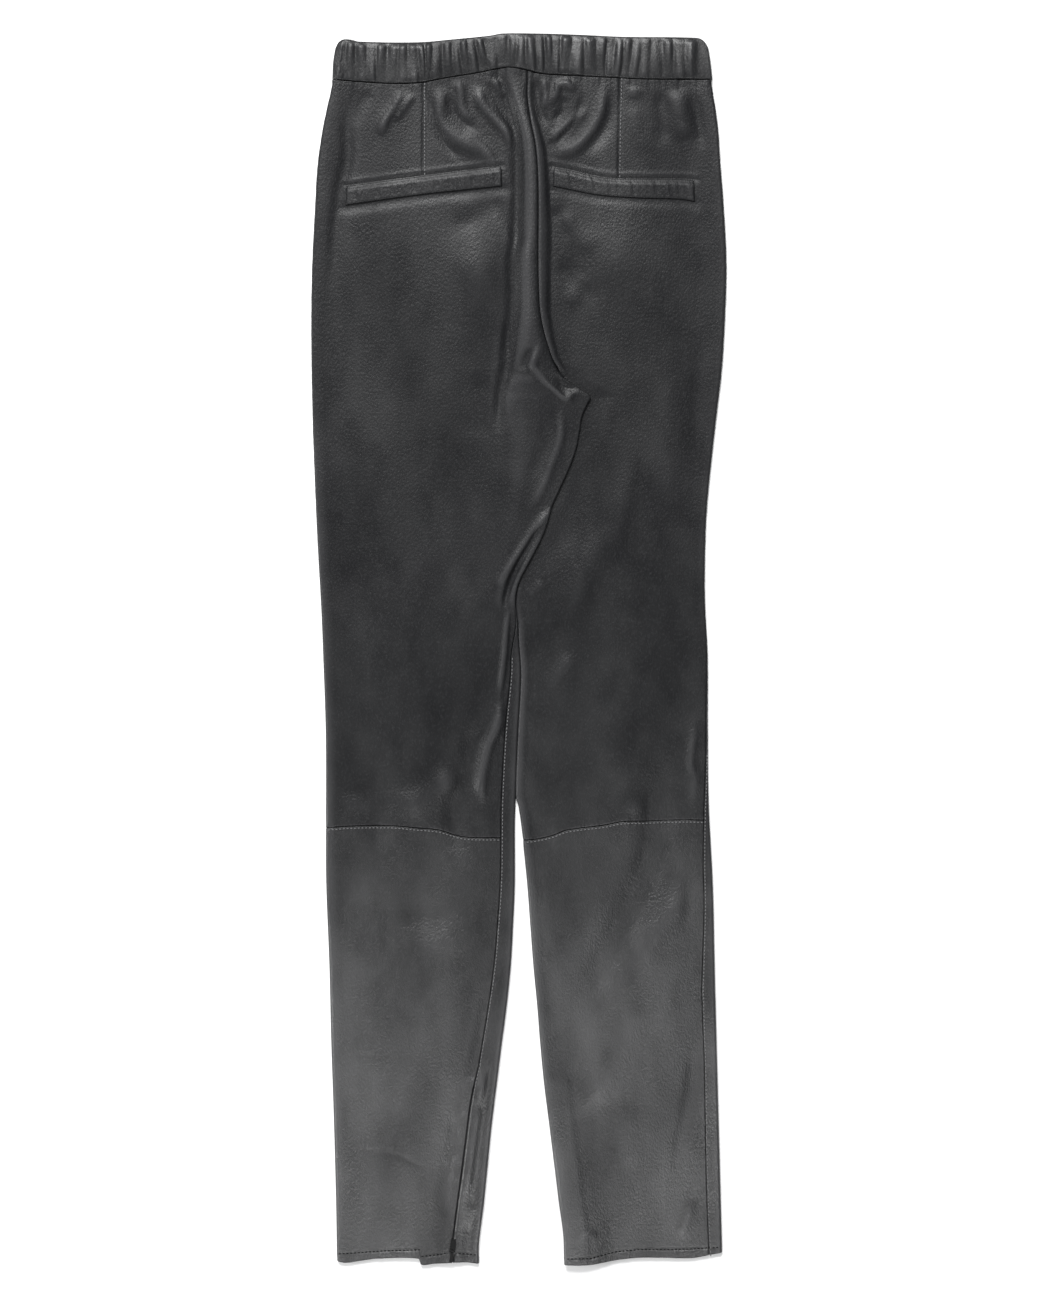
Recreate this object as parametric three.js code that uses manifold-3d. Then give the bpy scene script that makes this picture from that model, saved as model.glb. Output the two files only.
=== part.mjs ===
// Pull-on leather trousers, laid flat with the back up, in millimetres.
// X runs across, Y runs from the hems up to the waist, and Z is up from the surface they lie on.
// The origin is the middle of the outline, at the surface. The left leg is at -X.

import * as THREE from 'three';
import { mergeVertices } from 'three/addons/utils/BufferGeometryUtils.js';
import Module from 'manifold-3d';

const wasm = await Module();
wasm.setup();

// The leather and how its layers lie
const WALL = 1.1;
const SEAM_GAP = 0.3;
const UPPER_LAYER_TOP = 3.1;
const PUFF = 1.1;
const FLAP_LIFT = 3.4;
const FLAP_RAMP = 8.5;
const RAMP_END = 3.5;
const FOLD_STEPS = 10;
const NUDGE = 0.05;

// Heights down the garment
const WAIST_Y = 478;
const KNEE_Y = -152;
const HEM_Y = -517.5;
const CROTCH_TIP_Y = 214;
const SEAT_SEAM_END_Y = 236;
const FLAP_END_Y = 45;
const FLAP_SETTLED_Y = 7;
const FLAP_COVERS_FROM_Y = 30;
const FLAP_COVERS_TO_Y = 242;
const FLAP_CLEAR = 12;
const CENTRE_FRONT_X = 3;
const FRONT_WAIST_RISE = 3.4;
const WAIST_EASE = 0.3;

// The band
const BAND_WALL = 1.8;
const BAND_INNER_TOP = 2.5;
const BAND_TOP = 4.3;
const BAND_SIDE_WALL = 2.2;

// The ankle zips
const ZIP_TOP_Y = -368;
const ZIP_END_Y = -515;
const ZIP_TAPE_WIDTH = 9;
const ZIP_TAPE_THICKNESS = 1;
const ZIP_SLIT = 1;
const ZIP_SWELL = 1.1;
const SWELL_REACH = 14;
const SWELL_FLAT = 5.5;
const DENT_DEPTH = 3.2;
const DENT_REACH = 18;
const DENT_FLAT = 7.5;
const DENT_START_Y = -430;
const DENT_FULL_Y = -492;
const SLIDER_LENGTH = 8.5;
const SLIDER_WIDTH = 4.7;
const SLIDER_HEIGHT = 1.5;
const BAR_Y = -508.3;
const LUG_THICKNESS = 0.8;
const LUG_GAP = 3.2;
const BAR_RADIUS = 0.4;
const RING_BORE = 0.7;
const RING_RADIUS = 1.3;
const TAB_WIDTH = 2.6;
const TAB_LENGTH = 10;
const TAB_THICKNESS = 0.9;
const TAB_CORNER = 0.8;
const TAB_TILT = THREE.MathUtils.degToRad(5);
const RIGHT_BAR_Z = 1.5;

// The pocket welts
const WELT_THICKNESS = 1;
const WELT_STAND = 0.4;

// How far from a seam or hem the rows still bend with it
const WAIST_FADE = 100;
const KNEE_FADE = 60;
const HEM_FADE = 40;

// How finely each panel is divided
const TOP_COLUMNS = 12;
const END_COLUMNS = 4;
const LEAST_STEP = 0.4;
const GUIDE_COLUMN = 0.62;
const GUIDE_LEAST = 0.62;
const GUIDE_MOST = 0.93;
const WELT_COLUMNS = 12;
const TAPE_ROWS = 10;

const LEATHER = { color: 0x2b2c30, roughness: 0.45, metalness: 0 };
const BAND_LEATHER = { color: 0x2e2f33, roughness: 0.42, metalness: 0 };
const TAPE_CLOTH = { color: 0x17181a, roughness: 0.9, metalness: 0 };
const DARK_METAL = { color: 0x1a1a1c, roughness: 0.35, metalness: 0.8 };

const clamp = (value, low, high) => Math.min(Math.max(value, low), high);
const mix = (a, b, t) => a + (b - a) * t;
const bell = (distance) => Math.exp(-distance * distance);

function smoothstep(from, to, value) {
  const t = clamp((value - from) / (to - from), 0, 1);
  return t * t * (3 - 2 * t);
}

// A line along the garment from rows of [at, value], smooth between its rows and level past its ends.
function line(rows) {
  const sorted = [...rows].sort((a, b) => a[0] - b[0]);
  const last = sorted.length - 1;
  const slope = (i) => {
    const before = sorted[Math.max(i - 1, 0)];
    const after = sorted[Math.min(i + 1, last)];
    return (after[1] - before[1]) / (after[0] - before[0]);
  };
  return (at) => {
    if (at <= sorted[0][0]) return sorted[0][1];
    if (at >= sorted[last][0]) return sorted[last][1];
    let i = 0;
    while (sorted[i + 1][0] < at) i += 1;
    const [x0, v0] = sorted[i];
    const [x1, v1] = sorted[i + 1];
    const span = x1 - x0;
    const t = (at - x0) / span;
    const s = 1 - t;
    return v0 * (1 + 2 * t) * s * s + slope(i) * span * t * s * s
      + v1 * (3 - 2 * t) * t * t - slope(i + 1) * span * t * t * s;
  };
}

// Outer edge of each leg: y, x
const leftOuter = line([
  [478, -157.5], [444, -165], [410, -170], [376, -172], [326, -174.5], [275, -175.3], [207, -174.5],
  [157, -172.8], [98, -170.3], [38, -167], [-4, -165.2], [-71, -163], [-151, -163], [-198, -162.7],
  [-266, -160], [-333, -158.3], [-401, -156], [-469, -154.2], [-519, -153.4],
]);
const rightOuter = line([
  [478, 163.5], [444, 168.6], [410, 171], [376, 173.6], [326, 176], [275, 174.5], [236, 172],
  [199, 167.7], [170, 164.4], [132, 160.5], [102, 158.5], [48, 157.7], [-4, 160], [-71, 160.2],
  [-131, 161], [-198, 164.4], [-266, 166], [-333, 167.7], [-401, 169.5], [-469, 171.3],
  [-519, 172.6],
]);

// Right border of the left half, down the seat seam, out along the crotch flap, then the inner leg: y, x
const leftInner = line([
  [481, 7.7], [467, 7.7], [447, 10.6], [425, 14.8], [393, 16.9], [328, 16.9], [289, 18.2],
  [270, 21.5], [255, 25.8], [245, 29.2], [236, 33.4], [229.5, 39.3], [224.5, 45.2], [219.5, 53],
  [214, 61], [208, 58.7], [199, 54.5], [186, 52], [170, 49], [152, 42.5], [132, 33.4], [120, 28.3],
  [102, 23.2], [87, 16.3], [73, 8.9], [60, 2.1], [48, -1.7], [35, -2.1], [21, -0.4], [7, 0.4],
  [-21, 2.1], [-71, -0.4], [-124, -2.3], [-151, -3], [-198, -3], [-232, -4.4], [-266, -6.3],
  [-300, -9.7], [-333, -14], [-367, -18.2], [-401, -22.4], [-435, -25.8], [-469, -29.2],
  [-502, -33.2], [-519, -33.4],
]);

// Inner edge of the right leg, which passes under the crotch flap: y, x
const rightInner = line([
  [236, 3.8], [224, 6.3], [214, 9.2], [170, 9], [118, 5.5], [75, 2.6], [60, 0.6], [48, -1.1],
  [35, -1.5], [21, 0.2], [7, 1], [-21, 2.7], [-71, 0.2], [-124, -1.6], [-131, -0.4], [-147, 2.1],
  [-164, 3.8], [-198, 7.2], [-232, 9.7], [-266, 12.3], [-300, 15.6], [-333, 18.2], [-367, 21.5],
  [-401, 25.8], [-435, 30], [-469, 34.2], [-494, 37.6], [-519, 38.4],
]);

// Left border of the right back panel: the seat seam, then under the flap to the inner edge: y, x
const rightBackBorder = line([
  [481, 7.7], [467, 7.7], [447, 10.6], [425, 14.8], [393, 16.9], [328, 16.9], [289, 18.2],
  [270, 21.5], [255, 25.8], [245, 29.2], [237, 33], [232, 31.5], [226, 24], [220, 14.5], [214, 9.2],
]);

// Valleys on each side of the ridge that carries the seat seam, then guide lines down each leg: y, x
const leftValley = line([
  [485, -15.6], [468, -10.6], [454, -5.9], [430, -1.6], [401, -0.4], [353, -1.6], [328, -4.6],
  [289, -4.6], [260, -9.7], [226, -13.9], [201, -16.5], [168, -18], [126, -18], [76, -13],
  [42, -10.6], [-14, -15.6], [-63, -20.7], [-105, -33.4], [-140, -30], [-152, -30],
]);
const rightValley = line([
  [481, 12], [468, 11.5], [457, 13], [438, 19], [420, 23.4], [372, 26.3], [353, 27.2], [328, 26.8],
  [299, 26.5], [284, 27], [257, 31.5], [238, 40], [214, 64], [199, 60], [170, 54], [132, 40],
  [87, 30], [42, 22], [-40, 20], [-152, 26],
]);
const ridgeHeight = line([
  [485, 1.5], [457, 3.2], [430, 5], [401, 5.6], [328, 5.6], [289, 6.2], [262, 6.2], [245, 4.5],
  [230, 2.2], [205, 0],
]);

// How high each edge is rolled over the surface below it: y, height
const outerRoll = line([[478, 6], [430, 6.2], [376, 6.2], [200, 6], [0, 5.4], [-152, 5], [-519, 4.6]]);
const leftInnerRoll = line([[236, 3.2], [60, 3.2], [20, 4], [-30, 4.8], [-519, 4.6]]);
const rightInnerRoll = line([[236, 3.1], [60, 3.1], [20, 4], [-30, 4.8], [-519, 4.6]]);

// Where each leg's seams lie from its edge: on the upper side if positive, on the underside if not: y, inset
const leftInseam = line([
  [236, 0], [40, 0], [20, 2], [-5, 7.6], [-21, 8.9], [-56, 10.6], [-120, 12], [-159, 11.8],
  [-219, 12.9], [-272, 14.4], [-301, 15.6], [-349, 17.4], [-368, 19.2], [-389, 20.2], [-415, 20.8],
  [-443, 21.6], [-468, 22.4], [-507, 22.4], [-519, 22.6],
]);
const rightOutseam = line([
  [478, 0], [20, 0], [0, 0.8], [-50, 1.6], [-105, 2.4], [-146, 5], [-184, 7.4], [-219, 8],
  [-266, 10.2], [-289, 11.4], [-349, 11], [-455, 11.8], [-519, 11],
]);
const leftOutseam = line([[478, 0], [200, 0], [0, -4], [-152, -8], [-370, -12], [-519, -14]]);
const rightInseam = line([[236, 0], [100, 0], [0, -3], [-152, -7], [-300, -11], [-519, -11]]);

// How far the waist seam, knee seams and hems rise above their level: x, rise
const waistSeamRise = line([
  [-158, 3.4], [-132, 1.4], [-106, 0], [-84, 0.6], [-60, 5], [-34, 9.2], [-20, 12.2], [-9, 13.8],
  [4, 12], [20, 8.4], [50, 6.6], [77, 5.2], [105, 3.8], [130, 3.6], [164, 3.4],
]);
const kneeSeamRise = line([
  [-163, 1], [-140, 2.6], [-107, 2.8], [-86, 1], [-67, -0.8], [-47, -6.5], [-15, -7.5], [7, -9.2],
  [27, -5.8], [41, -0.8], [73, 3.4], [87, 6.2], [107, 6.7], [141, 7.8], [157, 7.6],
]);
const hemRise = line([
  [-153, 0], [-146, -1], [-133, 0.8], [-120, 2.5], [-84, 2.5], [-82.4, -2.5], [-72, -1.8],
  [-58, -1], [-45, -0.6], [-33, -1.8], [38, -2.6], [60, -2.4], [86, 1.8], [104, 3.4], [120, 3.4],
  [147, 3], [160, 5.4], [173, 7.6],
]);

// Soft folds over the upper side: three points along each, its half width and its height
const FOLDS = [
  { from: [-95, 474], via: [-107, 460], to: [-122, 434], width: 5, height: 1.6 },
  { from: [-54, 482], via: [-49, 465], to: [-41, 446], width: 5, height: 1.5 },
  { from: [-27, 485], via: [-19, 449], to: [-9, 420], width: 5.5, height: 2.2 },
  { from: [-70, 452], via: [-44, 431], to: [-24, 412], width: 9, height: 1.7 },
  { from: [69, 484], via: [64, 441], to: [32, 423], width: 6, height: 2.8 },
  { from: [47, 480], via: [32, 474], to: [27, 456], width: 4.5, height: 1.6 },
  { from: [57, 459], via: [38, 444], to: [26, 432], width: 5, height: 1.4 },
  { from: [123, 478], via: [131, 450], to: [137, 424], width: 8.5, height: 2.3 },
  { from: [34, 176], via: [22, 152], to: [-6, 98], width: 6, height: 1.4 },
  { from: [-7, 48], via: [-15, -14], to: [-34, -112], width: 4.5, height: 2.4 },
  { from: [103, 175], via: [96, 105], to: [84, 36], width: 14, height: 1.3 },
  { from: [152, -36], via: [146, -82], to: [141, -132], width: 5, height: 1.2 },
  { from: [114, -205], via: [90, -279], to: [57, -352], width: 15, height: -1.2 },
  { from: [-41, -75], via: [-56, -136], to: [-48, -190], width: 7, height: -1.3 },
  { from: [148, -325], via: [144, -396], to: [128, -458], width: 6, height: -0.9 },
  { from: [-36, -290], via: [-50, -396], to: [-62, -470], width: 6, height: -1 },
];

// Band pleats: where each crest stands, how high it is and how far its foot leans
const PLEATS = [
  { x: -149, height: 1.9, lean: -2 }, { x: -141.5, height: 1.8, lean: -1 },
  { x: -133, height: 2, lean: 0 }, { x: -124, height: 1.1, lean: 2 },
  { x: -117, height: 1.6, lean: 1 }, { x: -106, height: 1.7, lean: 0 },
  { x: -97.5, height: 1.9, lean: -1 }, { x: -89, height: 1.8, lean: 1 },
  { x: -82, height: 1.5, lean: 2 }, { x: -76, height: 1.8, lean: -3 },
  { x: -69, height: 1, lean: -2 }, { x: -60, height: 1.7, lean: 3 },
  { x: -52.5, height: 1.1, lean: 1 }, { x: -46, height: 1.3, lean: 2 },
  { x: -39, height: 1.4, lean: 1 }, { x: -32.5, height: 1.5, lean: 3 },
  { x: -26, height: 1.2, lean: 4 }, { x: -13, height: 0.9, lean: 0 },
  { x: -5.5, height: 1, lean: 0 }, { x: 2, height: 1.6, lean: 0 },
  { x: 10.5, height: 2, lean: 1 }, { x: 18.5, height: 1.8, lean: 0 },
  { x: 25, height: 1.5, lean: -1 }, { x: 31.5, height: 1.2, lean: 1 },
  { x: 39, height: 2, lean: -2 }, { x: 51, height: 1.7, lean: -1 },
  { x: 60.5, height: 1.3, lean: 1 }, { x: 71.5, height: 1.7, lean: 1 },
  { x: 78, height: 1.4, lean: -2 }, { x: 87, height: 2, lean: -5 },
  { x: 93.5, height: 1.7, lean: -5 }, { x: 100.5, height: 1.3, lean: -4 },
  { x: 108, height: 1.4, lean: -2 }, { x: 117, height: 1, lean: 0 },
  { x: 126, height: 1.6, lean: 0 }, { x: 135.5, height: 1.3, lean: 1 },
  { x: 147.5, height: 1.9, lean: 0 },
];
const bandTopY = line([
  [-156, 506], [-152, 513.5], [-146, 516], [-136, 514], [-85, 513.4], [-54, 516], [-24, 519],
  [-14, 520.8], [17, 520.8], [54, 519.6], [88, 518], [149, 517.2], [156, 515], [162, 507],
]);
const bandLeft = line([[516, -152.5], [500, -156.4], [480, -157.6]]);
const bandRight = line([[516, 158.5], [500, 162], [480, 164.2]]);

// Pocket welts: their ends, and their upper and lower edges: x, y
const WELTS = {
  left: {
    from: -146,
    to: -14,
    upper: line([[-146, 391.5], [-80, 400], [-15.6, 408.3]]),
    lower: line([[-145.5, 375.5], [-80, 384.5], [-43, 388.5], [-12.6, 391.8]]),
  },
  right: {
    from: 29.5,
    to: 149,
    upper: line([[29, 407.5], [45, 404.5], [67, 399.3], [86, 397.5], [137, 397.5], [150, 396]]),
    lower: line([[29, 391.5], [45, 388.3], [67, 384], [101, 381.4], [137, 380.3], [148.5, 378.5]]),
  },
};

// How far the left half climbs over the right leg at a place. The climb ends between two heights.
function flapLift(x, y, topFrom, topTo) {
  const edge = rightInner(y);
  const along = smoothstep(FLAP_SETTLED_Y, FLAP_END_Y, y) * (1 - smoothstep(topTo, topFrom, y));
  return FLAP_LIFT * smoothstep(edge - RAMP_END - FLAP_RAMP, edge - RAMP_END, x) * along;
}

function pointOnFold(fold, t) {
  const s = 1 - t;
  const bend = [0, 1].map((i) => 2 * fold.via[i] - (fold.from[i] + fold.to[i]) / 2);
  return [0, 1].map((i) => s * s * fold.from[i] + 2 * s * t * bend[i] + t * t * fold.to[i]);
}

// Height that one fold adds at a place: a bell across it, fading in and out along it
function foldHeight(fold, x, y) {
  let nearest = Infinity;
  let along = 0;
  for (let i = 0; i < FOLD_STEPS; i += 1) {
    const a = pointOnFold(fold, i / FOLD_STEPS);
    const b = pointOnFold(fold, (i + 1) / FOLD_STEPS);
    const run = [b[0] - a[0], b[1] - a[1]];
    const length = run[0] ** 2 + run[1] ** 2;
    const t = clamp(((x - a[0]) * run[0] + (y - a[1]) * run[1]) / length, 0, 1);
    const away = Math.hypot(x - a[0] - run[0] * t, y - a[1] - run[1] * t);
    if (away < nearest) {
      nearest = away;
      along = (i + t) / FOLD_STEPS;
    }
  }
  return fold.height * bell(nearest / fold.width) * Math.sin(Math.PI * clamp(along, 0.12, 0.88));
}

function ridge(x, y) {
  const left = leftValley(y);
  const across = (x - left) / (rightValley(y) - left);
  if (across <= 0 || across >= 1) return 0;
  return ridgeHeight(y) * Math.sin(Math.PI * across) ** 2;
}

// The zip on the underside of the right leg stands in a shallow dent, and the layer over it swells.
const zipLeft = (y) => leftInner(y) - leftInseam(y);
const zipRight = (y) => rightInner(y) - rightInseam(y);
const zipDent = (x, y) => (
  smoothstep(DENT_REACH, DENT_FLAT, Math.abs(x - zipRight(y))) * smoothstep(DENT_START_Y, DENT_FULL_Y, y));
const overZip = (x, place, y) => (
  smoothstep(SWELL_REACH, SWELL_FLAT, Math.abs(x - place)) * smoothstep(ZIP_TOP_Y + 10, ZIP_TOP_Y, y));

const lefts = {
  side: -1,
  outer: leftOuter,
  inner: leftInner,
  outerSeam: leftOutseam,
  innerSeam: leftInseam,
  innerRoll: leftInnerRoll,
  guide: leftValley,
  frontCrotchY: 226,
  flatFrom: (y) => rightInner(y) - RAMP_END,
  flatInsets: [0, 4, FLAP_RAMP + 1],
  under: (x, y) => flapLift(x, y, 243, 231),
  upper(x, y) {
    const folds = FOLDS.reduce((sum, fold) => sum + foldHeight(fold, x, y), 0);
    const across = clamp((x - leftOuter(y)) / (leftInner(y) - leftOuter(y)), 0, 1);
    const soft = Math.max(PUFF * Math.sin(Math.PI * across) + folds + ridge(x, y), 0);
    return UPPER_LAYER_TOP + soft + ZIP_SWELL * overZip(x, zipLeft(y), y) + flapLift(x, y, 238, 224);
  },
};

const rights = {
  side: 1,
  outer: rightOuter,
  inner: rightInner,
  outerSeam: rightOutseam,
  innerSeam: rightInseam,
  innerRoll: rightInnerRoll,
  guide: rightValley,
  frontCrotchY: 232,
  flatFrom: rightInner,
  flatInsets: [14, 18.5, 29],
  under: (x, y) => DENT_DEPTH * zipDent(x, y),
  upper(x, y) {
    const folds = FOLDS.reduce((sum, fold) => sum + foldHeight(fold, x, y), 0);
    const across = clamp((x - rightInner(y)) / (rightOuter(y) - rightInner(y)), 0, 1);
    const covered = smoothstep(FLAP_COVERS_TO_Y, FLAP_COVERS_TO_Y - 10, y)
      * smoothstep(FLAP_COVERS_FROM_Y, FLAP_COVERS_FROM_Y + 25, y);
    const clear = 1 - covered * smoothstep(2 * FLAP_CLEAR, FLAP_CLEAR, x - leftInner(y));
    const swell = ZIP_SWELL * overZip(x, zipRight(y), y) + DENT_DEPTH * zipDent(x, y);
    const soft = (PUFF * Math.sin(Math.PI * across) + folds) * clear + ridge(x, y) * (1 - covered);
    return UPPER_LAYER_TOP + Math.max(soft, 0) + swell;
  },
};

// Outer height near the rolled edges, blended into the layer between them
function upperHeight(half, x, y) {
  const crest = outerRoll(y);
  const fromOuter = Math.abs(x - half.outer(y));
  const fromInner = Math.abs(x - half.inner(y));
  const plain = half.upper(x, y);
  const nearOuter = bell(Math.max(fromOuter - crest / 2, 0) / 8);
  const nearInner = y > SEAT_SEAM_END_Y ? 0 : bell(Math.max(fromInner - half.innerRoll(y) / 2, 0) / 5);
  const inner = half.under(x, y) + half.innerRoll(y);
  return mix(mix(plain, crest, nearOuter), Math.max(plain, inner), nearInner);
}

// A place on a leg's ring, by its distance round the ring from the middle of an edge's roll.
function ringPoint(half, atInner, y, distance) {
  const edge = atInner ? half.inner(y) : half.outer(y);
  const inward = atInner ? half.side : -half.side;
  const height = atInner ? half.innerRoll(y) : outerRoll(y);
  const radius = height / 2;
  const arc = radius * Math.PI / 2;
  const around = Math.abs(distance);
  const inset = around <= arc ? radius * (1 - Math.cos(around / radius)) : radius + around - arc;
  const x = edge + inward * inset;
  const crownX = edge + inward * radius;
  const top = upperHeight(half, around <= arc ? crownX : x, y);
  const bottom = half.under(around <= arc ? crownX : x, y);
  if (around > arc) return new THREE.Vector3(x, y, distance > 0 ? top : bottom);
  const middle = (top + bottom) / 2;
  const sine = Math.sin(around / radius) * Math.sign(distance);
  return new THREE.Vector3(x, y, middle + (top - bottom) / 2 * sine);
}

const arcOf = (half, atInner, y) => (atInner ? half.innerRoll(y) : outerRoll(y)) * Math.PI / 4;

// A seam's distance round the roll from how far it stands in from the edge, seen from above
function insetToDistance(inset, arc) {
  const radius = arc * 2 / Math.PI;
  const size = Math.abs(inset);
  const around = size < radius ? radius * Math.acos(1 - size / radius) : size - radius + arc;
  return Math.sign(inset) * around;
}

function steps(from, to, count) {
  return Array.from({ length: count }, (_, i) => mix(from, to, i / (count - 1)));
}

// Half the gap at a seam; the left zip's slit is wider.
function halfGap(half, atInner, y) {
  return (half.side < 0 && atInner && y < ZIP_TOP_Y ? ZIP_SLIT : SEAM_GAP) / 2;
}

function seamDistance(half, atInner, y) {
  const inset = atInner ? half.innerSeam(y) : half.outerSeam(y);
  return insetToDistance(inset, arcOf(half, atInner, y));
}

// Distances round a roll on the way to a seam: the wanted ones, kept in order and clear of the seam.
function towardsSeam(wanted, seam, direction) {
  return [...wanted, seam].map((distance, i) => {
    const limit = seam - direction * (wanted.length - i) * LEAST_STEP;
    return direction > 0 ? Math.min(distance, limit) : Math.max(distance, limit);
  });
}

// A back panel's columns, from its outer seam over the upper side to its inner seam. Each is a function
// that gives the place where the column crosses a level, moved along the row by a nudge.
function backColumns(half) {
  const outerSeam = (y) => seamDistance(half, false, y) + halfGap(half, false, y);
  const outerTurn = (y) => Math.max(arcOf(half, false, y), outerSeam(y) + 2);
  const innerSeam = (y) => seamDistance(half, true, y) + halfGap(half, true, y);
  const innerTurn = (y) => Math.max(arcOf(half, true, y), innerSeam(y) + 4);
  const seatBorder = half.side < 0 ? leftInner : rightBackBorder;
  const onSeat = (y) => y > (half.side < 0 ? SEAT_SEAM_END_Y : CROTCH_TIP_Y);
  const start = (y) => ringPoint(half, false, y, outerTurn(y)).x;
  const finish = (y) => (onSeat(y) ? seatBorder(y) + half.side * SEAM_GAP / 2
    : ringPoint(half, true, y, innerTurn(y)).x);
  const across = (share) => (y, nudge) => {
    const reach = finish(y) - start(y);
    const guide = clamp((half.guide(y) - start(y)) / reach, GUIDE_LEAST, GUIDE_MOST);
    const bent = share < GUIDE_COLUMN ? guide * share / GUIDE_COLUMN
      : mix(guide, 1, (share - GUIDE_COLUMN) / (1 - GUIDE_COLUMN));
    const x = start(y) + reach * bent - half.side * nudge;
    return new THREE.Vector3(x, y, upperHeight(half, x, y));
  };
  const outerStations = (y) => {
    const arc = arcOf(half, false, y);
    return towardsSeam([outerTurn(y), arc / 3, -arc / 3, -arc], outerSeam(y), -1).reverse();
  };
  const innerStations = (y) => {
    const arc = arcOf(half, true, y);
    return towardsSeam([arc / 3, -arc / 3, -arc], innerSeam(y), -1);
  };
  const columns = [0, 1, 2, 3, 4].map((i) => (y, nudge) => (
    ringPoint(half, false, y, outerStations(y)[i] + nudge)));
  for (let i = 1; i <= TOP_COLUMNS + END_COLUMNS; i += 1) {
    const onSeatSeam = across(i / (TOP_COLUMNS + END_COLUMNS));
    const onLeg = i <= TOP_COLUMNS ? across(i / TOP_COLUMNS) : (y, nudge) => (
      ringPoint(half, true, y, innerStations(y)[i - TOP_COLUMNS - 1] - nudge));
    columns.push((y, nudge) => (onSeat(y) ? onSeatSeam(y, nudge) : onLeg(y, nudge)));
  }
  return columns;
}

// A front panel's columns, from its inner seam round under the leg to its outer seam.
function frontColumns(half) {
  const outerSeam = (y) => seamDistance(half, false, y) - halfGap(half, false, y);
  const outerTurn = (y) => Math.min(-arcOf(half, false, y), outerSeam(y) - 1);
  const innerSeam = (y) => seamDistance(half, true, y) - halfGap(half, true, y);
  const crown = (y) => Math.min(arcOf(half, true, y), innerSeam(y) - 1.2);
  const innerTurn = (y) => Math.min(-arcOf(half, true, y), innerSeam(y) - 2);
  const onSeat = (y) => y > half.frontCrotchY;
  const flat = (x, y, nudge) => {
    const moved = x + half.side * nudge;
    return new THREE.Vector3(moved, y, half.under(moved, y));
  };
  const turns = [
    ...[0, 0.5, 1].map((t) => (y) => mix(innerSeam(y), crown(y), t)),
    ...[0.25, 0.5, 0.75, 1].map((t) => (y) => mix(crown(y), innerTurn(y), t)),
  ];
  const centreFront = CENTRE_FRONT_X + half.side * SEAM_GAP / 2;
  const seatPlace = (y, i) => centreFront + half.side * i * mix(0.2, 1, smoothstep(240, 275, y));
  const inside = turns.map((turn, i) => (y, nudge) => (
    onSeat(y) ? flat(seatPlace(y, i), y, nudge) : ringPoint(half, true, y, turn(y) - nudge)));
  const start = (y) => inside.at(-1)(y, 0).x;
  const finish = (y) => ringPoint(half, false, y, outerTurn(y)).x;
  const underside = half.flatInsets.map((inset, i) => (y, nudge) => {
    const wanted = half.flatFrom(y) + half.side * inset;
    const least = start(y) + half.side * (i + 1) * 1.5;
    return flat(half.side < 0 ? Math.min(wanted, least) : Math.max(wanted, least), y, nudge);
  });
  for (const share of [0.55, 0.85]) {
    underside.push((y, nudge) => flat(mix(start(y), finish(y), share), y, nudge));
  }
  const outerStations = (y) => {
    const arc = arcOf(half, false, y);
    return towardsSeam([outerTurn(y), -arc / 3, arc / 3], outerSeam(y), 1);
  };
  const outside = [0, 1, 2, 3].map((i) => (y, nudge) => (
    ringPoint(half, false, y, outerStations(y)[i] + nudge)));
  return [...inside, ...underside, ...outside];
}

// Where a level row stands once it is bent to the seam or hem near it
function bentLevel(x, y, bends) {
  return bends.reduce((sum, bend) => (
    sum + bend.rise(x) * (1 - smoothstep(0, bend.fade, Math.abs(y - bend.level)))), y);
}

// A panel: outer points on its columns, and each one's partner one wall inside it.
function panel(half, columns, rowLevels, bends, trim) {
  const rows = rowLevels.map((level) => columns.map((column) => {
    const y = trim(level) + bentLevel(column(level, 0).x, level, bends) - level;
    const outer = column(y, 0);
    const down = column(y - NUDGE, 0).sub(outer);
    const along = column(y, NUDGE).sub(column(y, -NUDGE));
    const inward = down.cross(along).normalize().multiplyScalar(half.side * WALL);
    return { outer, inner: outer.clone().add(inward) };
  }));
  if (half.side > 0) rows.forEach((row) => row.reverse());
  const layer = (name) => rows.map((row) => row.map((point) => point[name]));
  return shell(layer('outer'), layer('inner'), false);
}

// Levels from stretches of rows: where each stretch starts and how many rows it has.
function levels(stretches, end) {
  const all = stretches.flatMap(({ from, rows }, i) => {
    const to = i + 1 < stretches.length ? stretches[i + 1].from : end;
    return Array.from({ length: rows }, (_, k) => mix(from, to, k / rows));
  });
  return [...all, end];
}

// A wall from rows of outer points: each point has its partner one wall inside, and the rim closes them.
function wall(rows, thickness) {
  const high = rows.length;
  const wide = rows[0].length;
  const at = (i, j) => rows[clamp(i, 0, high - 1)][clamp(j, 0, wide - 1)];
  const sides = [0, -thickness].map((inward) => rows.map((row, i) => row.map((point, j) => {
    const down = at(i + 1, j).clone().sub(at(i - 1, j));
    const along = at(i, j + 1).clone().sub(at(i, j - 1));
    return point.clone().addScaledVector(down.cross(along).normalize(), inward);
  })));
  return shell(sides[0], sides[1], false);
}

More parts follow.
